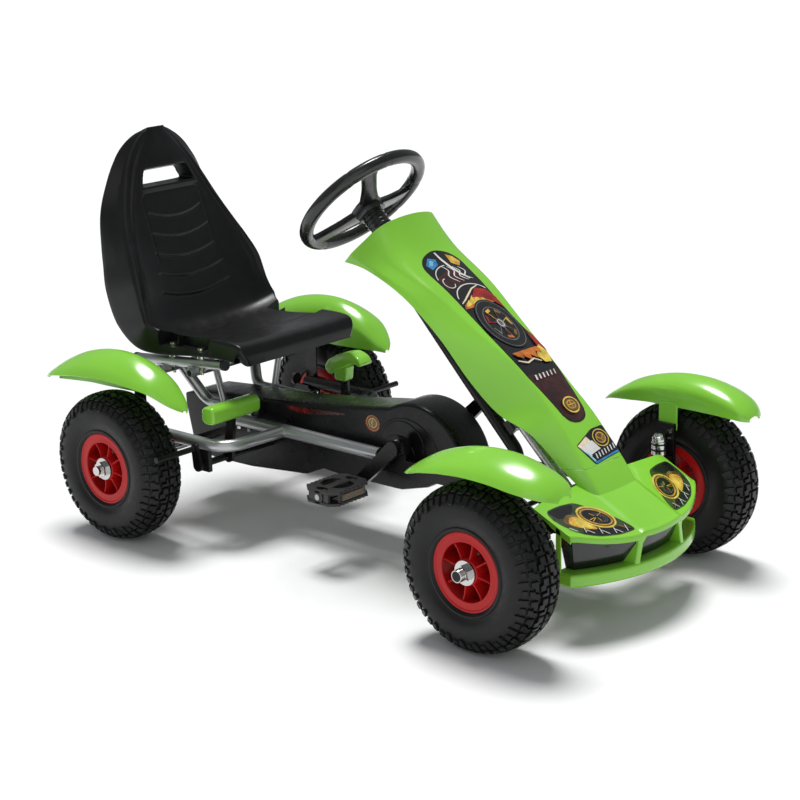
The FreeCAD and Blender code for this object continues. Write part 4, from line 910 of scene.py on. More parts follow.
def hood_z(x, y):
    """Top face: a flat spine, with wings that step down beside it and fall a little outwards."""
    z = HOOD_DATUM[1] + (y - HOOD_DATUM[0]) * HOOD_SLOPE
    wing = abs(x) - SPINE_HALF
    if wing > 0:
        z -= 4.0 * step(0, 9, wing) + 0.055 * max(wing - 9, 0)
    return z - 2.5 * step(146, 166, abs(x)) ** 2


def hood_at(x, y, lift):
    return (x, y, hood_z(x, y) + lift)


def build_hood():
    """Hood with a rounded lip that turns down all along the front."""
    columns = [-1 + i / 36 for i in range(73)]
    rows = []
    for v in [i / 24 for i in range(25)][::-1]:
        section = []
        for u in columns:
            x = HOOD_SIDE * u * (1 - 0.012 * (1 - v))
            section.append(hood_at(x, lerp(front_y(x, HOOD_LIP_RADIUS), HOOD_REAR, v ** 0.9), 0.0))
        rows.append(section)
    rim = []
    for i in range(1, 7):
        turn = 0.5 * math.pi * i / 6
        rim.append((HOOD_LIP_RADIUS * (1 - math.sin(turn)), HOOD_LIP_RADIUS * (1 - math.cos(turn))))
    rim += [(0.0, HOOD_EDGE - 1.2), (1.0, HOOD_EDGE)]
    for inset, drop in rim:
        rows.append([(x, front_y(x, inset), hood_z(x, front_y(x, HOOD_LIP_RADIUS)) - drop)
                     for x in [HOOD_SIDE * u * 0.988 for u in columns]])
    hood = loft("bumper_hood", rows, GREEN, closed=False)
    thicken(hood, HOOD_WALL)
    shade(hood, 28)
    return hood


def follow_hood(x, y, z):
    """Points that are drawn near the hood's front edge rise with the hood towards the sides."""
    rise = hood_z(x, y + HOOD_LIP_RADIUS) - hood_z(0.0, HOOD_FRONT + HOOD_LIP_RADIUS)
    return (x, y, z + rise * step(125, 139, z))


def bowed_bar(name, outline, half, material, columns=60):
    """Bar along the bowed front and a short way back along each side.

    Its outline is (depth behind the front, height) points."""
    sections = [[follow_hood(depth - half, SKIRT_END, z) for depth, z in outline]]
    for i in range(columns + 1):
        share = lerp(-1.0, 1.0, i / columns)
        sections.append([follow_hood(share * (half - depth), front_y(share * (half - depth), depth), z)
                         for depth, z in outline])
    sections.append([follow_hood(half - depth, SKIRT_END, z) for depth, z in outline])
    return loft(name, sections, material)


def build_lip():
    """Lower lip: a shelf with a rounded front edge."""
    outline = rounded([(3.0, 84.0), (0.0, 88.0), (0.0, 102.0), (2.0, 105.0), (24.5, 105.0), (24.5, 100.0),
                       (5.0, 98.0), (5.0, 84.0)], 1.6, 3)
    lip = bowed_bar("bumper_lip", outline, HOOD_SIDE - 2, GREEN)
    shade(lip, 35)
    return lip


def build_grille():
    """Dark panel behind the windows, leaning back towards the shelf."""
    back = [(depth + 3.0, z) for depth, z in GRILLE_LINE[::-1]]
    panel = bowed_bar("bumper_panel", GRILLE_LINE + back, HOOD_SIDE - 3, GRILLE)
    shade(panel, 30)
    settle(panel, "frame", ["bumper_grille"])


# Stations up a post: height, x, half width, and depth of its front and rear behind the bumper's front.
POST_STATIONS = [(103, 59, 6.0, 1.5, 25.0), (108, 58, 5.0, 2.0, 22.5), (134, 52, 5.0, 2.5, 9.0),
                 (141, 50, 8.0, 1.5, 6.0), (146, 49, 11.0, 1.5, 5.5)]


def build_posts():
    """Two fins between shelf and hood, narrow in front and running back to the panel."""
    posts = []
    for side in (-1, 1):
        sections = []
        for z, x, half, front, rear in POST_STATIONS:
            outline = [(-half, rear), (-half, front + 1.5), (-half + 1.5, front), (half - 1.5, front),
                       (half, front + 1.5), (half, rear)]
            sections.append([(side * x + dx, front_y(side * x + dx, depth), z) for dx, depth in outline])
        post = loft("bumper_post", sections, GREEN)
        shade(post, 25)
        posts.append(post)
    return posts


def build_side_ends():
    """Rims along the hood's sides, and thin upright strips that tie the ends of the lip to them."""
    ends = []
    for side in (-1, 1):
        rim = []
        for y, drop in ((HOOD_CORNER - 1, HOOD_EDGE), (SKIRT_END, HOOD_EDGE), (HOOD_REAR - 10, 5.0)):
            x = side * (HOOD_SIDE - 2.0)
            low, high = hood_z(x, y) - drop, hood_z(x, y) - 1.0
            rim.append([(x, y, low), (x, y, high), (x - side * 3, y, high), (x - side * 3, y, low)])
        edge = loft("bumper_rim", rim, GREEN)
        shade(edge, 25)
        ends.append(edge)
        sections = []
        for depth in (0.0, 2.6):
            x = side * (HOOD_SIDE - 2.0 - depth)
            y0 = SKIRT_END - 9
            outline = [(y0, 104), (y0 + 9, 104), (y0 + 9, hood_z(x, y0 + 9) - 2), (y0, hood_z(x, y0) - 2)]
            sections.append([(x, y, z) for y, z in outline])
        end = loft("bumper_end", sections, GREEN)
        shade(end, 25)
        ends.append(end)
    return ends


LAMP_CENTRE = (91, -484)
LAMP_TILT = 42.0
LENS_OUTLINE = [(157, -440), (128, -441), (98, -447), (76, -476), (58, -504), (50, -530), (84, -526),
                (119, -514), (143, -497), (156, -474), (160, -455)]


def lamp_print(side):
    """Headlight sticker: dark lens with a gold ring, a yellow glow and pale ticks."""
    cx, cy = LAMP_CENTRE
    low_shade = [(54, -527), (84, -524), (118, -512), (141, -496), (124, -494), (96, -506), (64, -516)]
    layers = [
        (INK_OLIVE, rounded(LENS_OUTLINE, 9, 4)),
        (INK_BLACK, rounded([(157, -442), (128, -443), (103, -449), (122, -462), (150, -462)], 6)),
        (INK_BLACK, rounded(low_shade, 4)),
        (INK_UMBER, rounded([(110, -500), (138, -486), (152, -468), (132, -458), (116, -468)], 8)),
        (INK_GOLD, rounded([(108, -504), (132, -490), (146, -474), (130, -464), (116, -474)], 8)),
        (INK_YELLOW, rounded([(112, -500), (124, -492), (136, -478), (126, -472), (116, -482)], 6)),
        (INK_YELLOW, ring_band(cx, cy, 31, 21, 3.0, LAMP_TILT)),
        (INK_UMBER, ellipse(cx, cy, 27.5, 17.5, LAMP_TILT)),
        (INK_GOLD, ring_band(cx, cy, 25, 15.5, 1.4, LAMP_TILT)),
        (INK_BLACK, ellipse(cx, cy, 22, 13, LAMP_TILT)),
        (INK_UMBER, [(56, -527), (66, -521), (80, -507), (70, -513)])]
    for i in range(5):
        turn = 36 * i
        c, s = math.cos(turn), math.sin(turn)
        ray = [(cx + 3 * c, cy + 3 * s), (cx + 15 * c, cy + 10 * s)]
        layers.append((INK_GOLD, strip(ray, 1.3, 0.5)))
        curl = arc(cx, cy, 6 + 3 * i, 3 + 2 * i, turn, turn + 120, 8, LAMP_TILT)
        layers.append((INK_GREY, strip(curl, 0.9, 0.5)))
    for i in range(8):
        x, y = lerp(68, 146, i / 7), lerp(-527, -492, (i / 7) ** 1.6)
        layers.append((INK_WHITE, strip([(x, y), (x + (7 if i % 2 else -5), y + 11)], 1.4, 0.5)))
    return [(material, [(side * x, y) for x, y in outline]) for material, outline in layers]


def build_bumper():
    pieces = [build_hood(), build_lip()] + build_posts() + build_side_ends()
    for index, obj in enumerate(pieces):
        bevel(obj, 0.5, 2, 45)
        obj.name = obj.name if index < 2 else f"{obj.name.split('.')[0]}_{index - 1}"
        settle(obj, "frame", ["bumper"])
    build_grille()
    for name, side in (("right", -1), ("left", 1)):
        sticker("lamp_print_" + name, "frame", hood_at, lamp_print(side), 8.0)


# ---------------------------------------------------------------- seat
# Stations from the front lip to the top: y, z and half width of the sitting face, how far its edges
# stand proud of the middle, and how deep its side flanks are.
SEAT_STATIONS = [
    (217, 303, 128, 0, 14), (218, 324, 138, 0, 20), (234, 338, 141, 2, 30), (290, 331, 141, 11, 31),
    (350, 322, 141, 15, 31), (410, 318, 147, 20, 38), (452, 329, 159, 27, 54), (474, 362, 157, 28, 78),
    (490, 412, 154, 27, 86), (503, 453, 144, 18, 80), (514, 490, 133, 6, 66), (528, 534, 117, -3, 48),
    (545, 595, 90, -8, 26), (553, 624, 71, -9, 18), (559, 648, 50, -7, 14), (563, 663, 30, -3, 12),
    (565, 669, 16, 0, 11)]
SEAT_THICKNESS = 13.0
SEAT_FLARE = 19.0         # how far the rear edge of the backrest spreads beyond the ridge
SEAT_ROWS = 330
SEAT_FACE_COLUMNS = 56
SEAT_GROOVES = [510.0, 475.0, 440.0, 405.0, 372.0]
SLOT_LOW, SLOT_HIGH = 568.0, 599.0
PANEL_HALF, PANEL_TOP, PANEL_CORNER = 69.0, 557.0, 15.0       # line pressed round the grooves
SEAT_NOTCHES = [(306, 386, 117), (394, 420, 117), (320, 412, 131)]   # y from, y to and inner x over the bolts


def seat_fold(x, z):
    """Grooves and ridges moulded into the backrest."""
    depth = 0.0
    for k, height in enumerate(SEAT_GROOVES):
        reach = 66 + 5 * k
        line = height + 14 * (x / reach) ** 2
        depth -= 2.2 * bell(z - line, 2.3) * (1 - step(reach - 7, reach, abs(x)))
    reach_x = abs(x) - (PANEL_HALF - PANEL_CORNER)
    reach_z = z - (PANEL_TOP - PANEL_CORNER)
    border = math.hypot(max(reach_x, 0), max(reach_z, 0)) - PANEL_CORNER
    depth -= 1.3 * bell(border, 1.8) * step(432, 446, z)
    lip = max(abs(x) - (60 - 0.35 * (z - SLOT_LOW)), SLOT_LOW - z, z - SLOT_HIGH)
    return depth + 1.5 * bell(lip - 3, 3.0)


def seat_rise(x, y, z, t, crest, proud, back):
    """How far the seat's face stands over its middle line at x, from the middle to the crest."""
    rise = proud * (x / crest) ** 3
    ridge = back * (1 - step(0.86, 0.95, t))
    rise += ridge * (1.2 * bell(crest - x - 12, 4) - 2.0 * bell(crest - x - 5.5, 2.4))
    if back > 0.5:
        return rise + seat_fold(x, z)
    rise -= 0.9 * bell(y - 312 + 0.0012 * x * x, 5.0) * (1 - step(90, 120, x))
    return rise + 2.5 * math.cos(0.5 * math.pi * x / crest) * step(0.05, 0.2, t) * (1 - step(0.3, 0.42, t))


def seat_row(t):
    """Closed section of the seat at t along its length."""
    y, z, half, proud, depth = catmull(SEAT_STATIONS, t)
    before, after = (Vector(catmull(SEAT_STATIONS, t + nudge)[:2]) for nudge in (-0.004, 0.004))
    ahead = (after - before).normalized()
    back = step(0.40, 0.52, t)
    close = math.sqrt(max(1 - max((t - 0.965) / 0.035, (0.012 - t) / 0.012, 0) ** 2, 0.0025))
    flank = depth * close
    flare = SEAT_FLARE * step(450, 570, z) * math.sqrt(max(1 - (max(z - 624, 0) / 46) ** 2, 0))
    crest = half - min(11.0, 0.3 * half) * lerp(0.6, 1.0, back)
    rim = half - crest
    drop = min(flank * 0.4, rim * 1.1)
    slot_bulge = 13.0 * bell(z - 584, 30)

    profile = []
    for i in range(SEAT_FACE_COLUMNS + 1):
        x = crest * i / SEAT_FACE_COLUMNS
        profile.append((x, seat_rise(x, y, z, t, crest, proud, back)))
    for i in range(1, 9):
        turn = 0.5 * math.pi * i / 8
        profile.append((crest + rim * math.sin(turn) * 0.86, proud - drop * (1 - math.cos(turn))))
    for i in range(1, 8):
        share = i / 7
        spread = rim * lerp(0.86, 1.0, math.sin(0.5 * math.pi * share)) + flare * share
        profile.append((crest + spread, proud - lerp(drop, flank, share)))
    edge = 3 * close
    for i in range(1, 4):
        turn = 0.5 * math.pi * i / 3
        profile.append((half + flare - edge * (1 - math.cos(turn)), proud - flank - edge * math.sin(turn)))
    for i in range(1, 15):
        share = i / 14
        x = (half + flare - edge) * (1 - share)
        low = -SEAT_THICKNESS * close - slot_bulge * (1 - step(58, 92, x))
        profile.append((x, lerp(proud - flank - edge, low, step(0, 0.75, share))))
    profile += [(-x, rise) for x, rise in profile[-2:0:-1]]
    return [(x, y - ahead.y * rise, z + ahead.x * rise) for x, rise in profile]


def seat_times():
    """Places of the rows: close together where the backrest has grooves."""
    marks = [(0.0, 0.0), (0.04, 0.02), (0.30, 0.42), (0.90, 0.90), (0.96, 0.955), (1.0, 1.0)]
    return [broken_line(marks, i / SEAT_ROWS) for i in range(SEAT_ROWS + 1)]


def broken_line(marks, share):
    """Value at share on a line through (share, value) marks."""
    for (s0, v0), (s1, v1) in zip(marks, marks[1:]):
        if share <= s1:
            return lerp(v0, v1, (share - s0) / (s1 - s0))
    return marks[-1][1]


def prism(outline, start, end, place_point, material=SEAT_BLACK, name="cutter"):
    """Solid between two copies of an outline: place_point(u, v, depth)."""
    sections = [[place_point(u, v, depth) for u, v in outline] for depth in (start, end)]
    return loft(name, sections, material)


def slot_outline(half_low, half_high, low, high):
    return rounded([(-half_low, low), (half_low, low), (half_high, high), (-half_high, high)], 6)


def build_seat():
    """Blown shell with a handle slot, and notches over the bolts in the pan's corners."""
    seat = loft("seat_moulding", [seat_row(t) for t in seat_times()], SEAT_BLACK)
    mouth = slot_outline(62, 51, SLOT_LOW, SLOT_HIGH)
    throat = slot_outline(50, 39, SLOT_LOW + 2, SLOT_HIGH - 10)
    slot = [[(x, y, z) for x, z in outline]
            for y, outline in ((520, mouth), (543, mouth), (578, throat), (640, throat))]
    carve(seat, loft("cutter", slot, SEAT_BLACK))
    for side in (-1, 1):
        for y0, y1, inner in SEAT_NOTCHES:
            outline = rounded([(y0, 314), (y1, 314), (y1 + 1, 380), (y0 - 26, 380)], 3, 3)
            carve(seat, prism(outline, inner, 180, lambda y, z, x: (side * x, y, z)))
    shade(seat, 42)
    settle(seat, "frame", ["seat_shell"])


# ---------------------------------------------------------------- fenders
# Stations along y: y, crest z, outer edge z, outer x, crest x, inner x, and the inner wall's lower z.
REAR_FENDER = [
    (244, 250, 247, 256, 252, 246, 244), (258, 268, 259, 275, 255, 234, 248),
    (290, 300, 279, 294, 257, 224, 250), (330, 320, 287, 303, 258, 219, 250),
    (375, 330, 290, 306, 258, 218, 250), (425, 329, 289, 306, 258, 218, 248),
    (475, 319, 284, 304, 258, 219, 247), (520, 302, 276, 298, 258, 221, 247),
    (555, 283, 268, 288, 257, 226, 246), (576, 268, 261, 277, 256, 235, 247),
    (583, 260, 257, 267, 255, 244, 249)]
FRONT_FENDER = [
    (-254, 246, 244, 262, 255, 248, 242), (-275, 262, 252, 280, 256, 236, 250),
    (-318, 287, 266, 298, 256, 224, 257), (-361, 302, 274, 305, 256, 218, 262),
    (-405, 310, 278, 308, 256, 216, 263), (-450, 310, 277, 308, 256, 216, 263),
    (-490, 302, 271, 304, 256, 217, 262), (-520, 290, 265, 294, 256, 219, 260),
    (-537, 276, 260, 279, 254, 223, 258), (-545, 263, 256, 263, 250, 234, 256)]
FENDER_WALL = 2.6
FENDER_ROWS = 72
FENDER_COLUMNS = 30


def fender_section(station, side):
    y, crest, edge, x_out, x_crest, x_in, low = station
    rise = crest - low
    corners = [(x_in, low), (x_in, low + 0.55 * rise), (lerp(x_in, x_crest, 0.22), crest - 0.2 * rise),
               (lerp(x_in, x_crest, 0.6), crest - 0.05 * rise), (x_crest, crest),
               (lerp(x_crest, x_out, 0.5), crest - 0.25 * (crest - edge)),
               (lerp(x_crest, x_out, 0.85), crest - 0.62 * (crest - edge)), (x_out, edge)]
    curve = [catmull(corners, i / FENDER_COLUMNS) for i in range(FENDER_COLUMNS + 1)]
    return [(side * x, y, z) for x, z in curve]


def build_fender(name, stations, side, body, node):
    rows = [fender_section(catmull(stations, i / FENDER_ROWS), side) for i in range(FENDER_ROWS + 1)]
    shell = loft(name, rows, GREEN, closed=False)
    thicken(shell, FENDER_WALL)
    shade(shell, 40)
    bevel(shell, 0.7, 2, 50)
    if stations is FRONT_FENDER:
        outline = rounded([(-420, 222), (-386, 222), (-386, 270), (-420, 270)], 6)
        tab = prism(outline, 213, 217.5, lambda y, z, x: (side * x, y, z), GREEN)
        shade(tab, 30)
        bevel(tab, 0.6, 2, 40)
        shell = join([shell, tab], name)
    settle(shell, body, [node])


def build_fenders():
    for name, side in (("right", -1), ("left", 1)):
        for end, stations, body in (("rear", REAR_FENDER, "frame"),
                                    ("front", FRONT_FENDER, "knuckle_" + name)):
            build_fender(f"{end}_fender_shell_{name}", stations, side, body, f"{end}_fender_{name}")


# ---------------------------------------------------------------- steering wheel
COLUMN = Vector((0, 459, 450)).normalized()
WHEEL_CENTRE = Vector((0, 60, 585))
WHEEL_UP = Vector((0, -COLUMN.z, COLUMN.y))
WHEEL_MAJOR = 109.5
WHEEL_TUBE = 11.5


def on_wheel(right, up, along):
    """Point from the wheel's centre: to the driver's right, up its face and along the column."""
    return tuple(WHEEL_CENTRE - Vector((right, 0, 0)) + WHEEL_UP * up + COLUMN * along)


def wheel_rim():
    sections = []
    for i in range(180):
        a = 2 * math.pi * i / 180
        clock = (90 - math.degrees(a)) / 30 % 12
        seam = sum(bell((clock - c + 6) % 12 - 6, 0.05) for c in (0.4, 1.6, 4.4, 5.6, 8.4, 9.6))
        section = []
        for j in range(32):
            b = 2 * math.pi * j / 32
            r = WHEEL_TUBE - 0.7 * seam - 0.5 * bell(math.sin(b), 0.10)
            out = WHEEL_MAJOR + r * math.cos(b)
            section.append(on_wheel(out * math.cos(a), out * math.sin(a), r * math.sin(b)))
        sections.append(section)
    rim = loft("wheel_rim", sections, WHEEL_BLACK, ring=True)
    shade(rim, 60)
    return rim


def wheel_spoke(clock):
    """Broad channel with raised edges on the driver's face and a rib box beneath."""
    a = math.radians(90 - 30 * clock)
    sections = []
    for i in range(13):
        t = i / 12
        out = lerp(12, WHEEL_MAJOR - 2, t)
        half = lerp(17, 12, step(0, 0.5, t)) + 4.5 * step(0.8, 1.0, t)
        low, high = lerp(-24, -7, t), lerp(-13, 4, t)
        outline = rounded([(-half, low), (half, low), (half, high), (half - 3.5, high), (half - 5, high - 3),
                           (5 - half, high - 3), (3.5 - half, high), (-half, high)], 1.4, 3)
        sections.append([on_wheel(out * math.cos(a) - s * math.sin(a), out * math.sin(a) + s * math.cos(a), n)
                         for s, n in outline])
    spoke = loft("wheel_spoke", sections, WHEEL_BLACK)
    shade(spoke, 35)
    return spoke


def wheel_hub():
    """Six-sided boss with a domed pad on the driver's face, and a ridged collar round the shaft."""
    pieces = []
    profile = [(-31, 22), (-29, 25), (-14, 28), (-10, 27), (-7, 22), (-6, 12)]
    sections = []
    for along, r in profile:
        section = []
        for j in range(72):
            b = 2 * math.pi * j / 72
            facet = math.cos(math.pi / 6) / math.cos((b + math.pi / 6) % (math.pi / 3) - math.pi / 6)
            rr = r * lerp(1.0, facet * 1.06, 0.75)
            section.append(on_wheel(rr * math.cos(b), rr * math.sin(b), along))
        sections.append(section)
    pieces.append(loft("wheel_boss", sections, WHEEL_BLACK))
    ridges = [(-62, 15), (-61, 17.5)]
    for i in range(4):
        low = -60 + 7.5 * i
        ridges += [(low, 17.5), (low + 1, 19), (low + 4, 19), (low + 5, 17.5)]
    ridges.append((-29, 18))
    sections = [[on_wheel(r * c, r * s, along) for c, s in circle(1.0, 64)] for along, r in ridges]
    pieces.append(loft("wheel_collar", sections, WHEEL_BLACK))
    for piece in pieces:
        shade(piece, 28)
        bevel(piece, 0.5, 2, 40)
    return pieces


def build_steering_wheel():
    pieces = [wheel_rim()] + [wheel_spoke(clock) for clock in (1, 5, 9)] + wheel_hub()
    whole = join(pieces, "steering_wheel_moulding")
    settle(whole, "steering", ["steering_wheel"])
    for index, along in enumerate((-46.0, -38.0)):
        sections = []
        for out, r in ((17.5, 2.6), (19.6, 2.6), (20.6, 1.8), (20.8, 0.1)):
            sections.append([on_wheel(6 + r * c, -out, along + r * s) for c, s in circle(1.0, 18)])
        screw = loft(f"wheel_screw_{index}", sections, CHROME)
        shade(screw, 40)
        settle(screw, "steering")


# ---------------------------------------------------------------- pedals
CRANK_PLACE = Vector((0, -66.5, 199.5))
CRANK_LENGTH = 105.0
CRANK_DROP = math.radians(43)
PEDAL_LENGTH = 94.0
PEDAL_START = 88.0
PEDAL_HALF = 37.0
PEDAL_THICK = 24.0


def pedal_plate(z0, z1, place_point):
    """Tread plate: serrated long edges, chamfered corners, two broad slots and a round hole at each end."""
    length, half = PEDAL_LENGTH, PEDAL_HALF
    edge = [(lerp(13, length - 13, i / 28), half - (1.8 if i % 4 in (1, 2) else 0.0)) for i in range(29)]
    outline = [(0, -half + 15), (0, half - 15)] + edge + [(length, half - 15), (length, -half + 15)]
    outline += [(u, -v) for u, v in edge[::-1]]
    plate = prism(outline, z0, z1, place_point, PEDAL_BLACK, "pedal_plate")
    for way in (-1, 1):
        slot = [(24, way * 8), (length - 24, way * 8), (length - 30, way * 24), (length / 2, way * 29),
                (30, way * 24)]
        carve(plate, prism(rounded(slot, 5), z0 - 1, z1 + 1, place_point))
    for u in (12, length - 12):
        hole = [(u + 6.5 * c, 12 * s) for c, s in circle(1.0, 24)]
        carve(plate, prism(hole, z0 - 1, z1 + 1, place_point))
    shade(plate, 30)
    bevel(plate, 0.5, 2, 40)
    return plate


def pedal_bar(u0, u1, v0, v1, height, place_point, radius=1.5, material=PEDAL_BLACK):
    """Upright bar of the pedal, as high above its middle as below."""
    outline = rounded([(u0, v0), (u1, v0), (u1, v1), (u0, v1)], radius, 3)
    return prism(outline, -height, height, place_point, material)


def build_pedal(name, side):
    """Two tread plates round a barrel for the spindle, joined by bars, with a reflector at each edge."""
    y = CRANK_PLACE.y - side * CRANK_LENGTH * math.cos(CRANK_DROP)
    z = CRANK_PLACE.z + side * CRANK_LENGTH * math.sin(CRANK_DROP)
    length, half = PEDAL_LENGTH, 0.5 * PEDAL_THICK

    def at(u, v, w):
        return (side * (PEDAL_START + u), y + v, z + w)

    def along_spindle(v, w, u):
        return at(u, v, w)

    pieces = [pedal_plate(half - 4.5, half, at), pedal_plate(-half, -half + 4.5, at)]
    for start, end, r in ((0.5, length - 0.5, 9.0), (0.0, 7.0, 10.8), (length - 9, length, 10.8)):
        barrel = prism(circle(r, 40), start, end, along_spindle, PEDAL_BLACK)
        carve(barrel, prism(circle(5.4, 32), start - 1, end + 1, along_spindle))
        pieces.append(barrel)
    for u in (5.0, length - 5.0):
        pieces += [pedal_bar(u - 3.2, u + 3.2, way * 10, way * 22, half - 4, at) for way in (-1, 1)]
    for way in (-1, 1):
        pieces.append(pedal_bar(15, length - 15, way * 30.5, way * 34.5, half - 4, at))
        reflector = pedal_bar(22, length - 22, way * 34.2, way * 36, 5.5, at, 0.6, AMBER)
        bevel(reflector, 0.5, 2, 40)
        reflector.name = f"pedal_reflector_{name}_{'rear' if way > 0 else 'front'}"
        settle(reflector, "pedal_" + name)
    for piece in pieces[2:]:
        shade(piece, 35)
    whole = join(pieces, "pedal_moulding_" + name)
    settle(whole, "pedal_" + name, ["pedal_" + name])


# ---------------------------------------------------------------- chain case
CASE_REAR = [(484, 172), (470, 112), (446, 84), (410, 80), (318, 82), (180, 95), (138, 113), (95, 110),
             (-43, 112), (-99, 127), (-143, 150), (-181, 156)]
CASE_NOSE = [(-181, 156), (-178, 190), (-142, 243), (-90, 262), (-20, 252)]
CASE_TOP = [(92, 236), (225, 220), (363, 212), (440, 206), (484, 192)]
CASE_HALF = 38.0
CASE_SHOULDER = [(0.0, 0.15), (0.0, CASE_HALF - 7), (0.7, CASE_HALF - 4), (2.0, CASE_HALF - 1.6),
                 (4.0, CASE_HALF - 0.4), (6.5, CASE_HALF)]                     # inset, x
CASE_BOSSES = [(-59, 165, 75, 1.6), (-52, 186, 49, 3.2), (-44, 174, 36, 4.6)]  # y, z, radius, how far out


def case_outline(inset):
    """(y, z) points round the case, moved inwards by inset."""
    first, top, last = CASE_NOSE[0], CASE_NOSE[2], CASE_NOSE[4]
    (cy, cz), radius = circle_through(first, top, last)
    start, end = (math.atan2(z - cz, y - cy) for y, z in (first, last))
    start += 2 * math.pi if start < 0 else 0
    nose = []
    for i in range(1, 24):
        a = lerp(start, end, i / 24)
        nose.append((cy + radius * math.cos(a), cz + radius * math.sin(a)))
    outline = CASE_REAR + nose + [last] + CASE_TOP
    if not inset:
        return outline
    moved = []
    for before, here, after in neighbours(outline):
        along = (Vector(after) - Vector(here)).normalized() + (Vector(here) - Vector(before)).normalized()
        along.normalize()
        moved.append((here[0] + along.y * inset, here[1] - along.x * inset))
    return moved


def circle_through(a, b, c):
    ax, ay, bx, by, cx, cy = *a, *b, *c
    d = 2 * (ax * (by - cy) + bx * (cy - ay) + cx * (ay - by))
    aa, bb, cc = ax * ax + ay * ay, bx * bx + by * by, cx * cx + cy * cy
    x = (aa * (by - cy) + bb * (cy - ay) + cc * (ay - by)) / d
    y = (aa * (cx - bx) + bb * (ax - cx) + cc * (bx - ax)) / d
    return (x, y), math.hypot(ax - x, ay - y)


def case_half(side):
    """Half case: rounded shoulder, and the stepped round bosses over the chainring."""
    rows = [[(side * x, y, z) for y, z in case_outline(inset)] for inset, x in CASE_SHOULDER]
    half = loft("case", rows, CASE_BLACK)
    shade(half, 24)
    pieces = [half]
    for cy, cz, r, rise in CASE_BOSSES:
        sections = []
        for inset, x in ((0.0, CASE_HALF - 2), (0.0, CASE_HALF + rise - 0.9), (0.9, CASE_HALF + rise)):
            rim = [(cy + u, cz + v) for u, v in circle(r - inset, 72)]
            sections.append([(side * x, y, max(z, case_floor(y) + 3)) for y, z in rim])
        boss = loft("boss", sections, CASE_BLACK)
        shade(boss, 30)
        pieces.append(boss)
    return pieces


def case_floor(y):
    """Height of the case's lower edge at y."""
    line = CASE_REAR[3:]
    for (y0, z0), (y1, z1) in zip(line, line[1:]):
        if y1 <= y <= y0:
            return lerp(z0, z1, (y0 - y) / (y0 - y1))
    return line[-1][1]


def case_at(side):
    return lambda u, v, lift: (side * (CASE_HALF + lift), u, v)


def case_graphics():
    """Fading red wedge, and a small ringed badge over the nose of the case."""
    return [
        (INK_DARK_RED, [(224, 214), (165, 218), (166, 207), (204, 207)]),
        (INK_MAROON, [(167, 218), (80, 224), (80, 221), (167, 207)]),
        (INK_ORANGE, ring_band(16, 219, 15, 13.5, 2.0)), (INK_UMBER, ellipse(16, 219, 12, 10.8)),
        (INK_YELLOW, ring_band(16, 219, 9.5, 8.5, 1.4)),
        (INK_RED, ring_band(16, 219, 17, 15, 1.2, 0, 200, 170)),
        (INK_GOLD, strip([(16, 212), (18, 219), (15, 226)], 2.6, 0.4))]


def build_chain_case():
    for name, side in (("right", -1), ("left", 1)):
        whole = join(case_half(side), "chain_case_moulding_" + name)
        settle(whole, "frame", ["chain_case_" + name])
        sticker("case_print_" + name, "frame", case_at(side), case_graphics())


# ---------------------------------------------------------------- hand grips
GRIP_RADIUS = 15.6
BRAKE_GRIP = (-197.0, -85.0)          # x of its two ends
BRAKE_GRIP_AT = (250.0, 225.5)        # y and z of its axis
SHIFT_GRIP_X = 140.0
SHIFT_GRIP_HALF = 16.0


def build_brake_grip():
    """Squarish bar with softly rounded ends."""
    low, high = BRAKE_GRIP
    centre_y, centre_z = BRAKE_GRIP_AT
    ends = [(0.0, 0.70), (0.6, 0.84), (2.0, 0.95), (4.5, 1.0)]            # from the end, share of the radius
    profile = [(low + depth, share) for depth, share in ends]
    profile += [(high - depth, share) for depth, share in ends[::-1]]
    sections = []
    for x, share in profile:
        outline = []
        for c, s in circle(1.0, 56):
            squareness = min(1 / (abs(c) ** 3.4 + abs(s) ** 3.4) ** (1 / 3.4), 1.12)
            reach = GRIP_RADIUS * share * squareness
            outline.append((x, centre_y + reach * c, centre_z + reach * s * 0.97))
        sections.append(outline)
    bar = loft("brake_grip_moulding", sections, GREEN)
    shade(bar, 50)
    settle(bar, "brake", ["brake_grip"])


def soft_block(name, outline, half, ease):
    """Upright (y, z) outline between two faces at the shift lever, its rims well rounded."""
    block = loft(name, [[(SHIFT_GRIP_X + x, y, z) for y, z in outline] for x in (-half, half)], GREEN)
    bevel(block, ease, 5, 40.0)
    apply_modifiers(block)
    shade(block, 55)
    return block


def build_shift_grip():
    """Hooked cap: a thick rear lobe, an arch, and a thin front end that droops; a stub below."""
    cap = rounded([(276, 227), (285, 238), (276, 253), (250, 267), (221, 274), (201, 267), (193, 255),
                   (199, 250), (210, 254), (224, 251), (240, 242), (258, 236), (266, 227)], 9, 5)
    stub = rounded([(238, 216), (264, 216), (266, 244), (234, 244)], 4, 4)
    pieces = [soft_block("cap", cap, SHIFT_GRIP_HALF, 5.0), soft_block("stub", stub, 11.0, 3.0)]
    settle(join(pieces, "shift_grip_moulding"), "shift", ["shift_grip"])


# ---------------------------------------------------------------- outrigger tubes
OUTRIGGER_PATH = [(62, 204), (197, 212), (197, 403)]       # x and y of its ends and its corner
OUTRIGGER_Z = 176.0
OUTRIGGER_BEND = 45.0
OUTRIGGER_RADIUS = 10.5


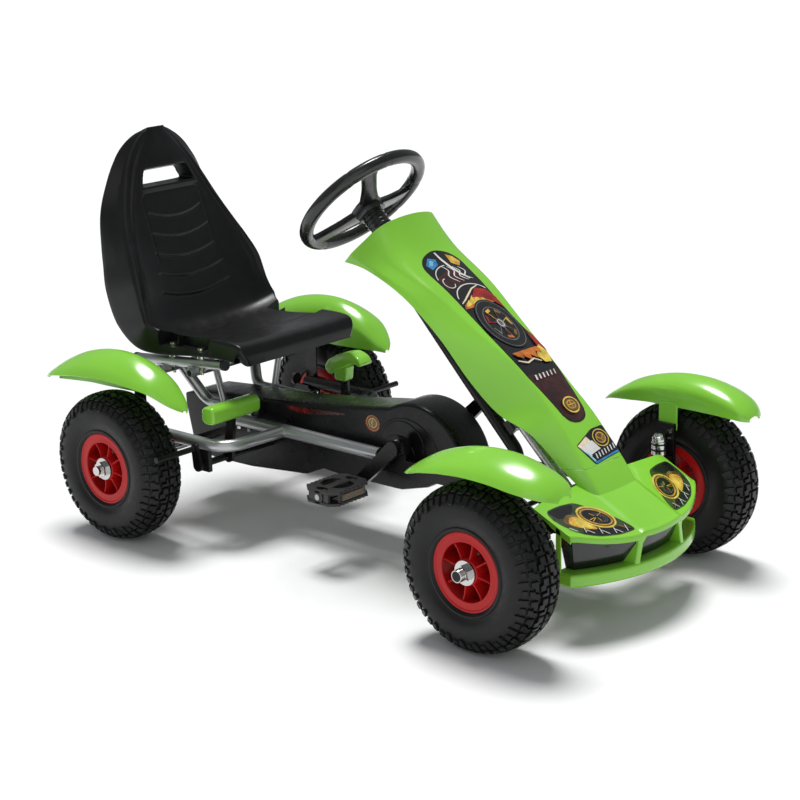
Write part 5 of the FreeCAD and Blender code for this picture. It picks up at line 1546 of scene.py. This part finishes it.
def build_outriggers():
    """Bent tubes from the main tubes out to the axle; the far one is given black paint as painted shade, for
    the dark it sits in behind the far wheel.
    """
    start, end = OUTRIGGER_PATH[0], OUTRIGGER_PATH[-1]
    bend = rounded(OUTRIGGER_PATH, OUTRIGGER_BEND, 13)[13:26]
    # The near tube is silver; its far twin takes black as painted shade, standing in for the shadow it sits
    # in.
    for name, side, material, slot in (("right", -1, SILVER, "silver_tube"),
                                       ("left", 1, BLACK_PAINT, "black_steel")):
        path = [(side * x, y, OUTRIGGER_Z) for x, y in [start] + bend + [end]]
        bent = tube("outrigger_tube_" + name, path, OUTRIGGER_RADIUS, material, 32)
        shade(bent, 40)
        settle(bent, "frame", ["outriggers"])


# ---------------------------------------------------------------- camera, light and floor
# The camera stands ahead of the kart on its right side.
CAMERA_AT = (-2355.6, -2148.9, 1166.0)
CAMERA_TARGET = (78.4, 59.2, 224.6)
CAMERA_ROLL = -0.0255
CAMERA_LENS = 89.1


def add_camera():
    data = bpy.data.cameras.new("camera")
    camera = link("camera", data)
    data.lens = CAMERA_LENS
    data.sensor_width = 36.0
    at, target = place(*CAMERA_AT), place(*CAMERA_TARGET)
    back = (at - target).normalized()
    right = Vector((0, 0, 1)).cross(back).normalized()
    up = back.cross(right)
    turned_right = right * math.cos(CAMERA_ROLL) + up * math.sin(CAMERA_ROLL)
    turned_up = up * math.cos(CAMERA_ROLL) - right * math.sin(CAMERA_ROLL)
    basis = Matrix((turned_right, turned_up, back)).transposed()
    camera.matrix_world = Matrix.Translation(at) @ basis.to_4x4()
    data.clip_end = 60.0
    bpy.context.scene.camera = camera


def add_sun(name, toward, strength, spread):
    """Even light from far away; spread is the softness of its shadows in degrees."""
    data = bpy.data.lights.new(name, "SUN")
    data.energy = strength
    data.angle = math.radians(spread)
    sun = link(name, data)
    sun.rotation_euler = Vector(toward).to_track_quat("-Z", "Y").to_euler()


FLOOR_HALF = 45.0         # metres
SKY = (0.94, 0.97, 1.0, 1.0)
SKY_STRENGTH = 0.27


def add_studio():
    """Pale floor, even sky, a soft light from overhead and a weak one from the side."""
    half = FLOOR_HALF
    corners = [(-half, -half, 0), (half, -half, 0), (half, half, 0), (-half, half, 0)]
    mesh = bpy.data.meshes.new("floor")
    mesh.from_pydata(corners, [], [(0, 1, 2, 3)])
    mesh.materials.append(finish("floor_paper", (0.88, 0.88, 0.88), 0.8, tint=0.01, grain=0.02, specular=0.2))
    link("floor", mesh)
    world = bpy.data.worlds.new("studio")
    bpy.context.scene.world = world
    world.use_nodes = True
    background = world.node_tree.nodes["Background"]
    background.inputs["Color"].default_value = SKY
    background.inputs["Strength"].default_value = SKY_STRENGTH
    bpy.context.scene.view_settings.view_transform = "Standard"
    add_sun("overhead", (-0.16, -0.20, -1.0), 3.0, 20.0)
    add_sun("side_fill", (0.85, 0.75, -0.50), 0.42, 60.0)


finish_cad_nodes()
build_wheels()
build_kingpins()
build_axle_ends()
build_nose()
sticker("nose_print", "frame", nose_top_at, nose_graphics())
sticker("nose_badge", "frame", nose_top_at, badge_graphics())
build_bumper()
build_seat()
build_fenders()
build_steering_wheel()
build_pedal("right", -1)
build_pedal("left", 1)
build_chain_case()
build_brake_grip()
build_shift_grip()
build_outriggers()
add_camera()
add_studio()
